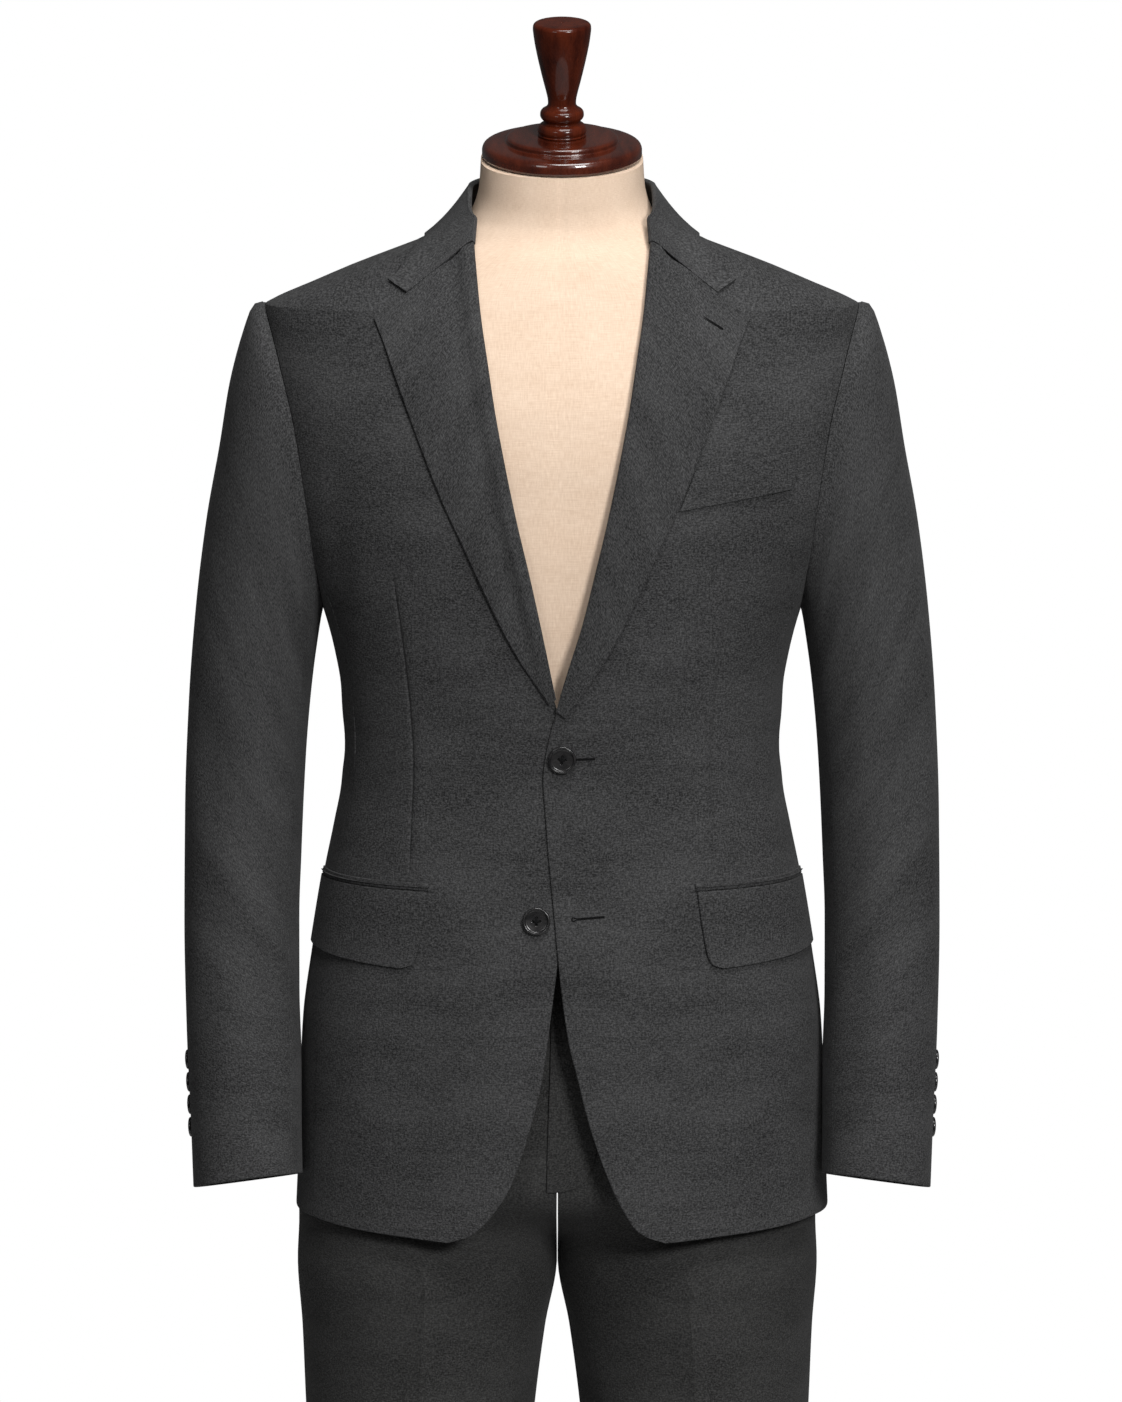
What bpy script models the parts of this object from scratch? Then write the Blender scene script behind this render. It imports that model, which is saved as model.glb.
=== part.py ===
"""A two-piece business suit, a jacket and trousers, worn by a limbless dress form on its stand.

Metres, +Z up. The suit faces -Y and the wearer's left is +X. The origin is the centre of the
base's underside. Every cloth panel is a thin wall: its outer face is worked out from sections
(half widths and depths at named heights), and its inner face lies one thickness further in,
square to the outer one.
"""

import math

import bpy
import numpy as np
from mathutils import Vector

# Cloth and its layers
CLOTH = 0.0016
FLAP_CLOTH = 0.0018
LAYER = 0.0030  # a lapel's or the collar's outer face, above the panel's outer face
FACE_STEP = 1e-5  # for the direction of a surface, worked out from near points
SLOPE_STEP = 0.0005  # for how fast a section changes with height
SEAM = 0.00018  # each panel stops this far from its seam line
ROUND = 2.4  # how square the body sections are: 2 is an ellipse
ARM_ROUND = 2.2
LEG_ROUND = 2.05

# Heights of the jacket
HEM_SIDE = 0.884
NECKLINE = 1.632
SHOULDER_END = 1.5702
UNDERARM = 1.340
ARMHOLE_FRONT = math.radians(28.5)
ARMHOLE_BACK = math.radians(31.0)
FRONT_LEVEL = 1.13  # rows above this height run level, those below follow the hem
HEM_DROP = 0.008  # the front hem's corner hangs this far below the side's

# Jacket body: height, half width, depth to the front, depth to the back
BODY = [
    (0.860, 0.2040, 0.132, 0.146),
    (0.884, 0.2030, 0.132, 0.146),
    (0.950, 0.2005, 0.131, 0.145),
    (1.027, 0.1970, 0.128, 0.141),
    (1.082, 0.1895, 0.124, 0.135),
    (1.136, 0.1810, 0.118, 0.127),
    (1.175, 0.1730, 0.114, 0.119),
    (1.211, 0.1664, 0.112, 0.113),
    (1.245, 0.1650, 0.113, 0.111),
    (1.277, 0.1665, 0.116, 0.113),
    (1.309, 0.1718, 0.120, 0.117),
    (1.340, 0.1800, 0.123, 0.122),
    (1.365, 0.1900, 0.1245, 0.125),
    (1.400, 0.2035, 0.126, 0.128),
    (1.451, 0.2165, 0.124, 0.129),
    (1.488, 0.2215, 0.119, 0.127),
    (1.525, 0.2245, 0.109, 0.120),
    (1.557, 0.2240, 0.096, 0.109),
    (1.5702, 0.2224, 0.090, 0.104),
    (1.5708, 0.2213, 0.0898, 0.1038),
    (1.5722, 0.2186, 0.0893, 0.1033),
    (1.576, 0.2110, 0.088, 0.102),
    (1.5835, 0.1930, 0.085, 0.0995),
    (1.5993, 0.1558, 0.078, 0.094),
    (1.6113, 0.1241, 0.071, 0.090),
    (1.6203, 0.1017, 0.065, 0.087),
    (1.6376, 0.0795, 0.058, 0.082),
    (1.6506, 0.0727, 0.054, 0.079),
    (1.6620, 0.0690, 0.052, 0.077),
]

# Seams between front, side and back panels: height, angle from the side in degrees
FRONT_SEAM = [(0.860, -24.0), (1.130, -22.5), (1.373, -20.0)]
BACK_SEAM = [(0.860, 34.0), (1.245, 38.0), (1.383, 24.0)]

SIDE_COLUMNS = 5
PANEL_COLUMNS = 7
BACK_LEVELS = [
    HEM_SIDE, 0.930, 0.980, 1.027, 1.082, 1.136, 1.175, 1.211, 1.245, 1.277, 1.309, 1.345, 1.383, 1.425,
    1.465, 1.500, 1.528, 1.548, 1.561, SHOULDER_END, 1.578, 1.590, 1.602, 1.613, 1.622, NECKLINE,
]

# Front edge and roll line of the front that lies on top (+X): distance from the centre, height
OVER_EDGE = [
    (0.0776, 0.8761), (0.0613, 0.8822), (0.0537, 0.8886), (0.0422, 0.9081),
    (0.0306, 0.9355), (0.0192, 0.9704), (0.0115, 1.0015), (0.0048, 1.0287),
    (-0.0015, 1.0749), (-0.0067, 1.1307), (-0.0097, 1.1616), (-0.0126, 1.1999),
    (-0.0141, 1.2239), (-0.0097, 1.2549), (-0.0022, 1.2819), (0.0037, 1.3019),
    (0.0157, 1.3412), (0.0254, 1.3804),
]
# The same of the front that lies below (-X), measured away from the centre on its own side
UNDER_EDGE = [
    (0.0853, 0.8761), (0.0696, 0.8815), (0.0595, 0.8895), (0.0404, 0.9159),
    (0.0306, 0.9412), (0.0219, 0.9704), (0.0153, 0.9977), (0.0112, 1.0250),
    (0.0067, 1.0598), (-0.0030, 1.1307), (-0.0090, 1.1616), (-0.0120, 1.1999),
    (-0.0130, 1.2239), (-0.0080, 1.2549), (0.0048, 1.2800), (0.0085, 1.3019),
    (0.0165, 1.3412), (0.0254, 1.3804),
]
# Both roll lines above the chest, up to the neckline
ROLL_LINE = [
    (0.0345, 1.4190), (0.0430, 1.4600), (0.0508, 1.5020), (0.0558, 1.5340),
    (0.0592, 1.5520), (0.0606, 1.5640), (0.0614, 1.5702), (0.0622, 1.5780),
    (0.0634, 1.5900), (0.0646, 1.6020), (0.0658, 1.6150), (0.0672, 1.6240),
    (0.0685, NECKLINE),
]
# The front on top stands off the other one near the centre
OVERLAP_LIFT = 0.0022
OVERLAP_FULL = 0.036
OVERLAP_END = 0.085

# Lapels: distance from the centre and height, from the break up to the tip
OVER_LAPEL_FOLD = [(-0.0035, 1.2765), (0.0037, 1.3019), (0.0157, 1.3412), (0.0254, 1.3804)]
UNDER_LAPEL_FOLD = [(0.0052, 1.2850), (0.0088, 1.3030), (0.0167, 1.3412), (0.0254, 1.3804)]
LAPEL_FOLD_TOP = [
    (0.0345, 1.4190), (0.0430, 1.4600), (0.0508, 1.5020), (0.0558, 1.5340),
    (0.0610, 1.5680), (0.0640, 1.5960), (0.0662, 1.6185),
]
LAPEL_EDGE = [
    (0.0160, 1.2910), (0.0297, 1.3120), (0.0460, 1.3420), (0.0605, 1.3727),
    (0.0748, 1.4040), (0.0877, 1.4315), (0.1013, 1.4654), (0.1122, 1.4940),
    (0.1237, 1.5250), (0.1328, 1.5500), (0.1390, 1.5645),
]
LAPEL_ROWS = 13
OVER_LAPEL_TIP = (0.0030, 1.2715)
UNDER_LAPEL_TIP = (0.0100, 1.2815)

# Collar, from the centre of the back round to the front: the angle of its seam round the neck, how
# high the fold stands above the seam, how far it leans in, and the outer edge's angle and height
COLLAR = [
    (90.0, 0.0300, 0.0050, 90.0, 1.6115),
    (68.0, 0.0296, 0.0065, 66.0, 1.6120),
    (45.0, 0.0285, 0.0095, 42.0, 1.6140),
    (22.0, 0.0268, 0.0130, 20.0, 1.6175),
    (0.0, 0.0250, 0.0150, -3.0, 1.6200),
    (-20.0, 0.0180, 0.0115, -29.0, 1.6110),
    (-36.0, 0.0100, 0.0035, -42.0, 1.6005),
    (-43.5, 0.0055, 0.0000, -45.3, 1.5950),
]
COLLAR_STEPS = 10
COLLAR_SEAM = 1.6325
COLLAR_OUT = 0.0035
# The round of the fold, from inside over its top to outside: how far out and how far up
COLLAR_FOLD = [(-0.0023, -0.0026), (-0.0014, -0.0007), (0.0009, 0.0), (0.0023, -0.0020)]
COLLAR_BEND = 0.0045  # the fall keeps this far off the seam on its way down to the outer edge
FALL_STEPS = [0.30, 0.55, 0.80, 1.00]
COLLAR_THICK = 0.0016
GORGE_TOP = (0.0668, 1.6192)
# The collar's front end rolls out round the gorge's top: across, up, out from the body
COLLAR_END_ROLL = [
    (-0.0020, 0.0, -0.0014), (-0.0026, 0.0, 0.0010), (-0.0022, 0.0, 0.0024),
    (-0.0008, 0.0, 0.0036), (0.0012, -0.0008, 0.0036),
]
GORGE_LIFT = 0.0012
NOTCH = (0.1147, 1.5833)
COLLAR_TIP = (0.1287, 1.5916)

# Pockets: their front end, distance from the centre and height, then the height at the side
FLAP_ROWS = [
    (0.1005, 1.1390, 1.1390), (0.1030, 1.1200, 1.1215), (0.1062, 1.1000, 1.1060),
    (0.1085, 1.0900, 1.0975), (0.1125, 1.0838, 1.0920), (0.1200, 1.0810, 1.0875),
]
FLAP_SIDE_ANGLE = math.radians(-5.5)
FLAP_OUT = 0.0022
FLAP_COLUMNS = 8
JET_ROWS = [(0.0990, 1.1448, 1.1448), (0.0992, 1.1394, 1.1394)]
JET_OUT = 0.0018
JET_CLOTH = 0.0014
WELT_BOTTOM = [(0.0868, 1.4257), (0.1707, 1.4390)]
WELT_TOP = [(0.0985, 1.4554), (0.1751, 1.4680)]

# Buttons
BUTTON_RADIUS = 0.0105
CUFF_BUTTON_RADIUS = 0.0076
BUTTON_GAP = 0.0001
BUTTON_PROFILE = [(0.88, 0.00), (1.00, 0.16), (0.94, 0.34), (0.68, 0.24)]
TOP_BUTTON = (0.0, 1.2400)
LOWER_BUTTON = (0.0190, 1.1190)
CUFF_BUTTON_HEIGHTS = [0.9974, 0.9807, 0.9640, 0.9473]
CUFF_BUTTON_ANGLE = math.radians(-14.0)
CUFF_BUTTON_RINGS = (8.0, 13.0)  # they lie between these two of the sleeve's rings

# Sleeve rings: outer edge and inner edge (distance from the centre, height), middle and half
# depth front to back, how much the ring keeps of the armhole's own shape, and its front's lift
SLEEVE = [
    (0.2229, 1.5703, 0.1805, 1.3396, 0.003, 0.0705, 1.00, 0.000),
    (0.2275, 1.5722, 0.1818, 1.3340, 0.003, 0.0712, 0.85, 0.000),
    (0.2335, 1.5665, 0.1832, 1.3255, 0.003, 0.0712, 0.60, 0.000),
    (0.2406, 1.5470, 0.1850, 1.3130, 0.002, 0.0708, 0.35, 0.000),
    (0.2500, 1.5110, 0.1875, 1.2950, 0.002, 0.0695, 0.15, 0.000),
    (0.2580, 1.4630, 0.1905, 1.2680, 0.001, 0.0675, 0.05, 0.000),
    (0.2680, 1.4080, 0.1933, 1.2350, 0.000, 0.0650, 0.00, 0.000),
    (0.2765, 1.3400, 0.1955, 1.1970, -0.002, 0.0630, 0.00, 0.000),
    (0.2820, 1.2690, 0.1975, 1.1500, -0.006, 0.0605, 0.00, 0.000),
    (0.2850, 1.1900, 0.1990, 1.1050, -0.012, 0.0580, 0.00, 0.000),
    (0.2856, 1.1050, 0.1988, 1.0500, -0.022, 0.0555, 0.00, 0.002),
    (0.2838, 1.0250, 0.1970, 0.9980, -0.034, 0.0530, 0.00, 0.005),
    (0.2808, 0.9620, 0.1968, 0.9540, -0.045, 0.0505, 0.00, 0.008),
    (0.2784, 0.9050, 0.1960, 0.9160, -0.056, 0.0480, 0.00, 0.010),
]
ARMHOLE_GAP = 0.0006
ARM_COLUMNS = 8
SLEEVE_RADIUS = 0.05  # about, which turns the seam's gap into an angle
SLEEVE_FRONT_SEAM = math.radians(145.0)
SLEEVE_BACK_SEAM = math.radians(-28.0)

# Trousers above the crotch: height, half width, depth to the front, depth to the back
PELVIS = [
    (0.800, 0.1953, 0.1110, 0.1270),
    (0.845, 0.1981, 0.1120, 0.1300),
    (0.881, 0.1986, 0.1120, 0.1300),
    (0.930, 0.1870, 0.1110, 0.1270),
    (0.980, 0.1755, 0.1090, 0.1200),
    (1.030, 0.1650, 0.1060, 0.1110),
    (1.083, 0.1562, 0.1012, 0.1027),
]
# Each leg: height, inner edge, outer edge, depth to the front, depth to the back
LEG = [
    (0.028, 0.0535, 0.1840, 0.070, 0.071),
    (0.180, 0.0500, 0.1810, 0.074, 0.075),
    (0.350, 0.0440, 0.1800, 0.080, 0.082),
    (0.500, 0.0360, 0.1810, 0.088, 0.089),
    (0.620, 0.0270, 0.1868, 0.097, 0.098),
    (0.7265, 0.0172, 0.1922, 0.104, 0.108),
    (0.7895, 0.0090, 0.1947, 0.108, 0.118),
    (0.840, 0.0002, 0.1981, 0.1115, 0.128),
    (0.910, 0.0002, 0.1900, 0.1115, 0.128),
]
CROTCH = 0.840
SEAT_CURVE_TOP = 0.910
TROUSER_LEVELS = [
    0.028, 0.10, 0.19, 0.29, 0.39, 0.49, 0.58, 0.66, 0.725, 0.775, 0.812, 0.836,
    0.852, 0.870, 0.892, 0.925, 0.975, 1.030, 1.0827,
]
TROUSER_SHIFT = -0.0036  # the legs hang this far off the jacket's centre
WAISTBAND_BOTTOM = 1.0831
WAISTBAND_TOP = 1.118
WAISTBAND_THICK = 0.0022
WAISTBAND_GAP = 0.0005
LEG_COLUMNS = 8
LEG_SEAM = 0.0012  # share of half a leg's round left open at its seams
CENTRE_SEAM = 0.0010
FLY_ROWS = [
    (-0.0080, 0.0020, 0.9120), (-0.0080, 0.0170, 0.9170), (-0.0080, 0.0255, 0.9300),
    (-0.0080, 0.0290, 0.9500), (-0.0080, 0.0300, 1.0000), (-0.0080, 0.0300, 1.0400),
    (-0.0080, 0.0300, 1.0790),
]
FLY_LIFT = 0.0019
FLY_THICK = 0.0014

# Dress form: height, half width, depth to the front, depth to the back
FORM = [
    (0.925, 0.1500, 0.0930, 0.0980),
    (0.932, 0.1530, 0.0950, 0.1000),
    (0.980, 0.1575, 0.0975, 0.1050),
    (1.030, 0.1565, 0.0990, 0.1040),
    (1.083, 0.1535, 0.0985, 0.1000),
    (1.118, 0.1500, 0.0965, 0.0965),
    (1.160, 0.1470, 0.0960, 0.0950),
    (1.200, 0.1465, 0.0970, 0.0950),
    (1.245, 0.1490, 0.1000, 0.0970),
    (1.300, 0.1580, 0.1080, 0.1040),
    (1.350, 0.1680, 0.1145, 0.1110),
    (1.400, 0.1770, 0.1185, 0.1170),
    (1.450, 0.1840, 0.1190, 0.1205),
    (1.490, 0.1880, 0.1150, 0.1200),
    (1.525, 0.1900, 0.1055, 0.1145),
    (1.550, 0.1905, 0.0960, 0.1080),
    (1.565, 0.1900, 0.0895, 0.1030),
    (1.5745, 0.1890, 0.0855, 0.0990),
    (1.5815, 0.1850, 0.0825, 0.0965),
    (1.5890, 0.1690, 0.0790, 0.0935),
    (1.5970, 0.1550, 0.0750, 0.0910),
    (1.6090, 0.1235, 0.0680, 0.0870),
    (1.6175, 0.1020, 0.0620, 0.0840),
    (1.6260, 0.0840, 0.0580, 0.0790),
    (1.6370, 0.0700, 0.0555, 0.0715),
    (1.6480, 0.0645, 0.0550, 0.0665),
    (1.6580, 0.0622, 0.0555, 0.0635),
    (1.6786, 0.0608, 0.0562, 0.0610),
]
FORM_COLUMNS = 26
NECK_TILT = math.radians(11.2)  # the neck's top leans to the front
NECK_TILT_FROM = 1.600
NECK_TOP = 1.6786

# Cap and finial: radius, height above their own underside
CAP_PROFILE = [
    (0.0576, 0.0000), (0.0594, 0.0030), (0.0594, 0.0082), (0.0574, 0.0112), (0.0432, 0.0120),
    (0.0416, 0.0130), (0.0408, 0.0158), (0.0380, 0.0168),
]
FINIAL_PROFILE = [
    (0.0182, 0.0000), (0.0184, 0.0050), (0.0172, 0.0080), (0.0136, 0.0112), (0.0164, 0.0164),
    (0.0150, 0.0206), (0.0104, 0.0246), (0.0106, 0.0290), (0.0148, 0.0450), (0.0189, 0.0626),
    (0.0217, 0.0790), (0.0217, 0.0836), (0.0180, 0.0866),
]
REST_GAP = 0.0003

# Stand
BASE_RADIUS = 0.180
BASE_PROFILE = [(1.0, 0.0), (1.0, 0.0048), (0.988, 0.0070)]
POLE_RADIUS = 0.0125
POLE_X = 0.112

# Materials: colour, roughness, metallic
FINISHES = {
    "worsted": ((0.034, 0.034, 0.036, 1.0), 0.85, 0.0),
    "trouser_worsted": ((0.027, 0.027, 0.027, 1.0), 0.85, 0.0),
    "horn": ((0.010, 0.010, 0.011, 1.0), 0.25, 0.0),
    "form_cloth": ((0.80, 0.63, 0.47, 1.0), 0.80, 0.0),
    "mahogany": ((0.050, 0.010, 0.005, 1.0), 0.20, 0.0),
    "steel": ((0.60, 0.60, 0.61, 1.0), 0.30, 1.0),
}


class Curve:
    """Smooth values through the rows of a table, whose first column runs upward."""

    def __init__(self, rows):
        table = np.array(rows, float)
        self.at = table[:, 0]
        self.values = table[:, 1:]
        rise = np.diff(self.values, axis=0) / np.diff(self.at)[:, None]
        product = rise[:-1] * rise[1:]
        total = rise[:-1] + rise[1:]
        same_way = product > 0
        mean = np.where(same_way, 2 * product / np.where(same_way, total, 1.0), 0.0)
        self.slope = np.vstack([rise[:1], mean, rise[-1:]])

    def __call__(self, at):
        at = min(max(at, self.at[0]), self.at[-1])
        k = min(max(int(np.searchsorted(self.at, at)) - 1, 0), len(self.at) - 2)
        step = self.at[k + 1] - self.at[k]
        t = (at - self.at[k]) / step
        start = (1 + 2 * t) * (1 - t) ** 2 * self.values[k]
        start = start + t * (1 - t) ** 2 * step * self.slope[k]
        end = t * t * (3 - 2 * t) * self.values[k + 1]
        end = end + t * t * (t - 1) * step * self.slope[k + 1]
        return start + end


def outline(points):
    """A smooth curve through listed points, from 0 at the first to 1 at the last."""
    count = len(points) - 1
    return Curve([(i / count, *point) for i, point in enumerate(points)])


BODY_AT = Curve(BODY)
PELVIS_AT = Curve(PELVIS)
LEG_AT = Curve(LEG)
FORM_AT = Curve(FORM)
FRONT_SEAM_AT = Curve(FRONT_SEAM)
BACK_SEAM_AT = Curve(BACK_SEAM)


def signed_power(value, power):
    return math.copysign(abs(value) ** power, value)


def smoothstep(value):
    value = min(max(value, 0.0), 1.0)
    return value * value * (3 - 2 * value)


def ring_point(sections, roundness, angle, z, out=0.0):
    """The point of a section at this angle (0 at the side, -90 degrees in front), moved out."""
    width, front, back = sections(z)
    c, s = math.cos(angle), math.sin(angle)
    depth = front if s < 0 else back
    u, v = signed_power(c, 2 / roundness), signed_power(s, 2 / roundness)
    slope = (sections(z + SLOPE_STEP) - sections(z - SLOPE_STEP)) / (2 * SLOPE_STEP)
    depth_slope = slope[1] if s < 0 else slope[2]
    normal = np.array([
        signed_power(u, roundness - 1) / width,
        signed_power(v, roundness - 1) / depth,
        -(abs(u) ** roundness * slope[0] / width + abs(v) ** roundness * depth_slope / depth),
    ])
    normal /= np.linalg.norm(normal)
    return np.array([width * u, depth * v, z]) + out * normal


def body_point(angle, z, out=0.0):
    return ring_point(BODY_AT, ROUND, angle, z, out)


def body_angle(x, z):
    """The angle at which the front of the body lies this far from the centre."""
    ratio = x / BODY_AT(z)[0]
    return -math.acos(signed_power(min(max(ratio, -1.0), 1.0), ROUND / 2))


def on_front(x, z, out=0.0):
    return body_point(body_angle(x, z), z, out)


def front_normal(x, z):
    normal = on_front(x, z, 0.001) - on_front(x, z)
    return normal / np.linalg.norm(normal)


def overlap_lift(x, side):
    """How far the front on top stands off the body's surface."""
    if side < 0:
        return 0.0
    return OVERLAP_LIFT * smoothstep((OVERLAP_END - x) / (OVERLAP_END - OVERLAP_FULL))


def armhole_angle(z, widest):
    middle = (UNDERARM + SHOULDER_END) / 2
    half = (SHOULDER_END - UNDERARM) / 2
    return widest * math.sqrt(max(1 - ((z - middle) / half) ** 2, 0.0))


def armhole_point(turn, out):
    """A point of the armhole: turn is 0 at the shoulder, 90 degrees in front."""
    middle = (UNDERARM + SHOULDER_END) / 2
    half = (SHOULDER_END - UNDERARM) / 2
    widest = ARMHOLE_FRONT if math.sin(turn) > 0 else ARMHOLE_BACK
    point = body_point(-widest * math.sin(turn), middle + half * math.cos(turn))
    point[0] += out
    return point


def material(slot):
    """The named material, made once and shared."""
    found = bpy.data.materials.get(slot)
    if found:
        return found
    colour, roughness, metallic = FINISHES[slot]
    made = bpy.data.materials.new(slot)
    made.use_nodes = True
    shader = made.node_tree.nodes["Principled BSDF"]
    shader.inputs["Base Color"].default_value = colour
    shader.inputs["Roughness"].default_value = roughness
    shader.inputs["Metallic"].default_value = metallic
    return made


def add_object(name, points, faces, slot):
    mesh = bpy.data.meshes.new(name)
    mesh.from_pydata([tuple(point) for point in points], [], faces)
    mesh.shade_smooth()
    mesh.set_sharp_from_angle(angle=math.radians(40))
    mesh.materials.append(material(slot))
    made = bpy.data.objects.new(name, mesh)
    bpy.context.collection.objects.link(made)
    return made


def close_wall(name, outer, inner, slot, side, closed=False):
    """A closed solid between two grids of points: rows upward, columns right, seen from outside."""
    mirror = np.array([side, 1.0, 1.0])
    outer, inner = np.array(outer) * mirror, np.array(inner) * mirror
    if side < 0:
        outer, inner = outer[:, ::-1], inner[:, ::-1]
    rows, columns = outer.shape[:2]
    around = columns if closed else columns - 1
    below = rows * columns
    faces = []
    for i in range(rows - 1):
        for j in range(around):
            k = (j + 1) % columns
            low, high = i * columns, (i + 1) * columns
            faces.append((low + j, low + k, high + k, high + j))
            faces.append((below + low + k, below + low + j, below + high + j, below + high + k))
    rim = [(j, (j + 1) % columns) for j in range(around)]
    top = (rows - 1) * columns
    rim += [(top + (j + 1) % columns, top + j) for j in range(around)]
    if not closed:
        rim += [((i + 1) * columns, i * columns) for i in range(rows - 1)]
        rim += [(i * columns + around, (i + 1) * columns + around) for i in range(rows - 1)]
    faces += [(end, start, below + start, below + end) for start, end in rim]
    points = np.vstack([outer.reshape(-1, 3), inner.reshape(-1, 3)])
    return add_object(name, points, faces, slot)


def wall(name, surface, places, thickness, slot, side=1, closed=False):
    """A wall under a surface. Each place is a pair: how far right and how far up the surface."""
    outer, inner = [], []
    for line in places:
        outer.append([surface(*place) for place in line])
        inner.append([])
        for (across, up), point in zip(line, outer[-1]):
            right = surface(across + FACE_STEP, up) - surface(across - FACE_STEP, up)
            rise = surface(across, up + FACE_STEP) - surface(across, up - FACE_STEP)
            normal = np.cross(right, rise)
            inner[-1].append(point - thickness * normal / np.linalg.norm(normal))
    return close_wall(name, outer, inner, slot, side, closed)


def stacked(name, points, around, slot):
    """A closed solid from rings of points going up, each with this many points."""
    rings = len(points) // around
    faces = [tuple(reversed(range(around)))]
    for i in range(rings - 1):
        for j in range(around):
            k = (j + 1) % around
            low, high = i * around, (i + 1) * around
            faces.append((low + j, low + k, high + k, high + j))
    top = (rings - 1) * around
    faces.append(tuple(range(top, top + around)))
    return add_object(name, points, faces, slot)


def turned(name, profile, slot, segments=24):
    """A solid turned about its own Z axis, from rows of radius and height going up."""
    points = []
    for radius, height in profile:
        for j in range(segments):
            turn = 2 * math.pi * j / segments
            points.append((radius * math.cos(turn), radius * math.sin(turn), height))
    return stacked(name, points, segments, slot)


def turned_on(name, scale, point, normal, slot):
    """A button with its underside on a point and its axis along a normal."""
    profile = [(radius * scale, height * scale) for radius, height in BUTTON_PROFILE]
    made = turned(name, profile, slot, segments=12)
    made.location = point
    made.rotation_mode = "QUATERNION"
    made.rotation_quaternion = Vector(normal).to_track_quat("Z", "Y")
    return made


def ruled(left, right, columns):
    """Places in straight rows between two lists of places."""
    steps = [j / columns for j in range(columns + 1)]
    return [
        [tuple(np.array(start) * (1 - t) + np.array(end) * t) for t in steps]
        for start, end in zip(left, right)
    ]


def front_outer_angle(z):
    """Where a front panel ends: at the side seam, then the armhole, then the shoulder seam."""
    if z >= SHOULDER_END:
        return -math.asin((SEAM / BODY_AT(z)[1]) ** (ROUND / 2))
    if z <= FRONT_SEAM[-1][0]:
        return math.radians(FRONT_SEAM_AT(z)[0]) - SEAM / BODY_AT(z)[0]
    return -armhole_angle(z, ARMHOLE_FRONT)


def back_outer_angle(z):
    if z >= SHOULDER_END:
        return math.asin((SEAM / BODY_AT(z)[2]) ** (ROUND / 2))
    if z <= BACK_SEAM[-1][0]:
        return math.radians(BACK_SEAM_AT(z)[0]) + SEAM / BODY_AT(z)[0]
    return armhole_angle(z, ARMHOLE_BACK)


def front_panel(name, side, edge):
    left, right = [], []
    for x, z in edge + ROLL_LINE:
        fall = max(FRONT_LEVEL - z, 0.0) / (FRONT_LEVEL - edge[0][1])
        outer_z = z + HEM_DROP * fall
        left.append((body_angle(x, z), z))
        right.append((front_outer_angle(outer_z), outer_z))

    def surface(angle, z):
        return body_point(angle, z, overlap_lift(body_point(angle, z)[0], side))

    wall(name, surface, ruled(left, right, PANEL_COLUMNS), CLOTH, "worsted", side)


def side_angle(z, t):
    """The angle this far across the side panel, from its front seam to its back seam."""
    gap = SEAM / BODY_AT(z)[0]
    start = math.radians(FRONT_SEAM_AT(z)[0]) + gap
    end = math.radians(BACK_SEAM_AT(z)[0]) - gap
    return start + (end - start) * t


def side_panel(name, side):
    middle = (UNDERARM + SHOULDER_END) / 2
    half = (SHOULDER_END - UNDERARM) / 2
    levels = [z for z in BACK_LEVELS if z <= BACK_SEAM[-1][0]]
    places = [[] for _ in levels]
    for j in range(SIDE_COLUMNS + 1):
        t = j / SIDE_COLUMNS
        top = UNDERARM
        for _ in range(8):
            angle = side_angle(top, t)
            widest = ARMHOLE_FRONT if angle < 0 else ARMHOLE_BACK
            top = middle - half * math.sqrt(1 - (angle / widest) ** 2)
        for line, level in zip(places, levels):
            reach = (level - levels[0]) / (levels[-1] - levels[0])
            z = levels[0] + (top - SEAM - levels[0]) * reach
            line.append((side_angle(z, t), z))
    wall(name, body_point, places, CLOTH, "worsted", side)


def back_panel(name, side):
    left, right = [], []
    for z in BACK_LEVELS:
        left.append((back_outer_angle(z), z))
        right.append((math.acos((SEAM / BODY_AT(z)[0]) ** (ROUND / 2)), z))
    wall(name, body_point, ruled(left, right, PANEL_COLUMNS), CLOTH, "worsted", side)


def lapel(name, side, fold, tip):
    fold_line = outline(fold + LAPEL_FOLD_TOP)
    edge_line = outline([tip] + LAPEL_EDGE)
    steps = [i / LAPEL_ROWS for i in range(LAPEL_ROWS + 1)]

    def surface(x, z):
        return on_front(x, z, LAYER + overlap_lift(x, side))

    places = ruled([fold_line(t) for t in steps], [edge_line(t) for t in steps], 5)
    wall(name, surface, places, CLOTH, "worsted", side)


def collar_row(place):
    """One row across the collar, from its seam at the neck over the fold to its outer edge."""
    angle, rise, lean, edge_angle, edge_z = outline(COLLAR)(place)
    seam = body_point(math.radians(angle), COLLAR_SEAM)
    out = body_point(math.radians(angle), COLLAR_SEAM, 0.001) - seam
    out[2] = 0.0
    out /= np.linalg.norm(out)
    up = np.array([0.0, 0.0, 1.0])
    fold = seam + up * rise - out * lean
    row = [seam - out * COLLAR_THICK]
    row += [fold + out * across + up * rise for across, rise in COLLAR_FOLD]
    edge = body_point(math.radians(edge_angle), edge_z, COLLAR_OUT)
    start, bend = row[-1], seam + out * COLLAR_BEND
    for t in FALL_STEPS:
        row.append(start * (1 - t) ** 2 + bend * 2 * t * (1 - t) + edge * t * t)
    return row


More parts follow.
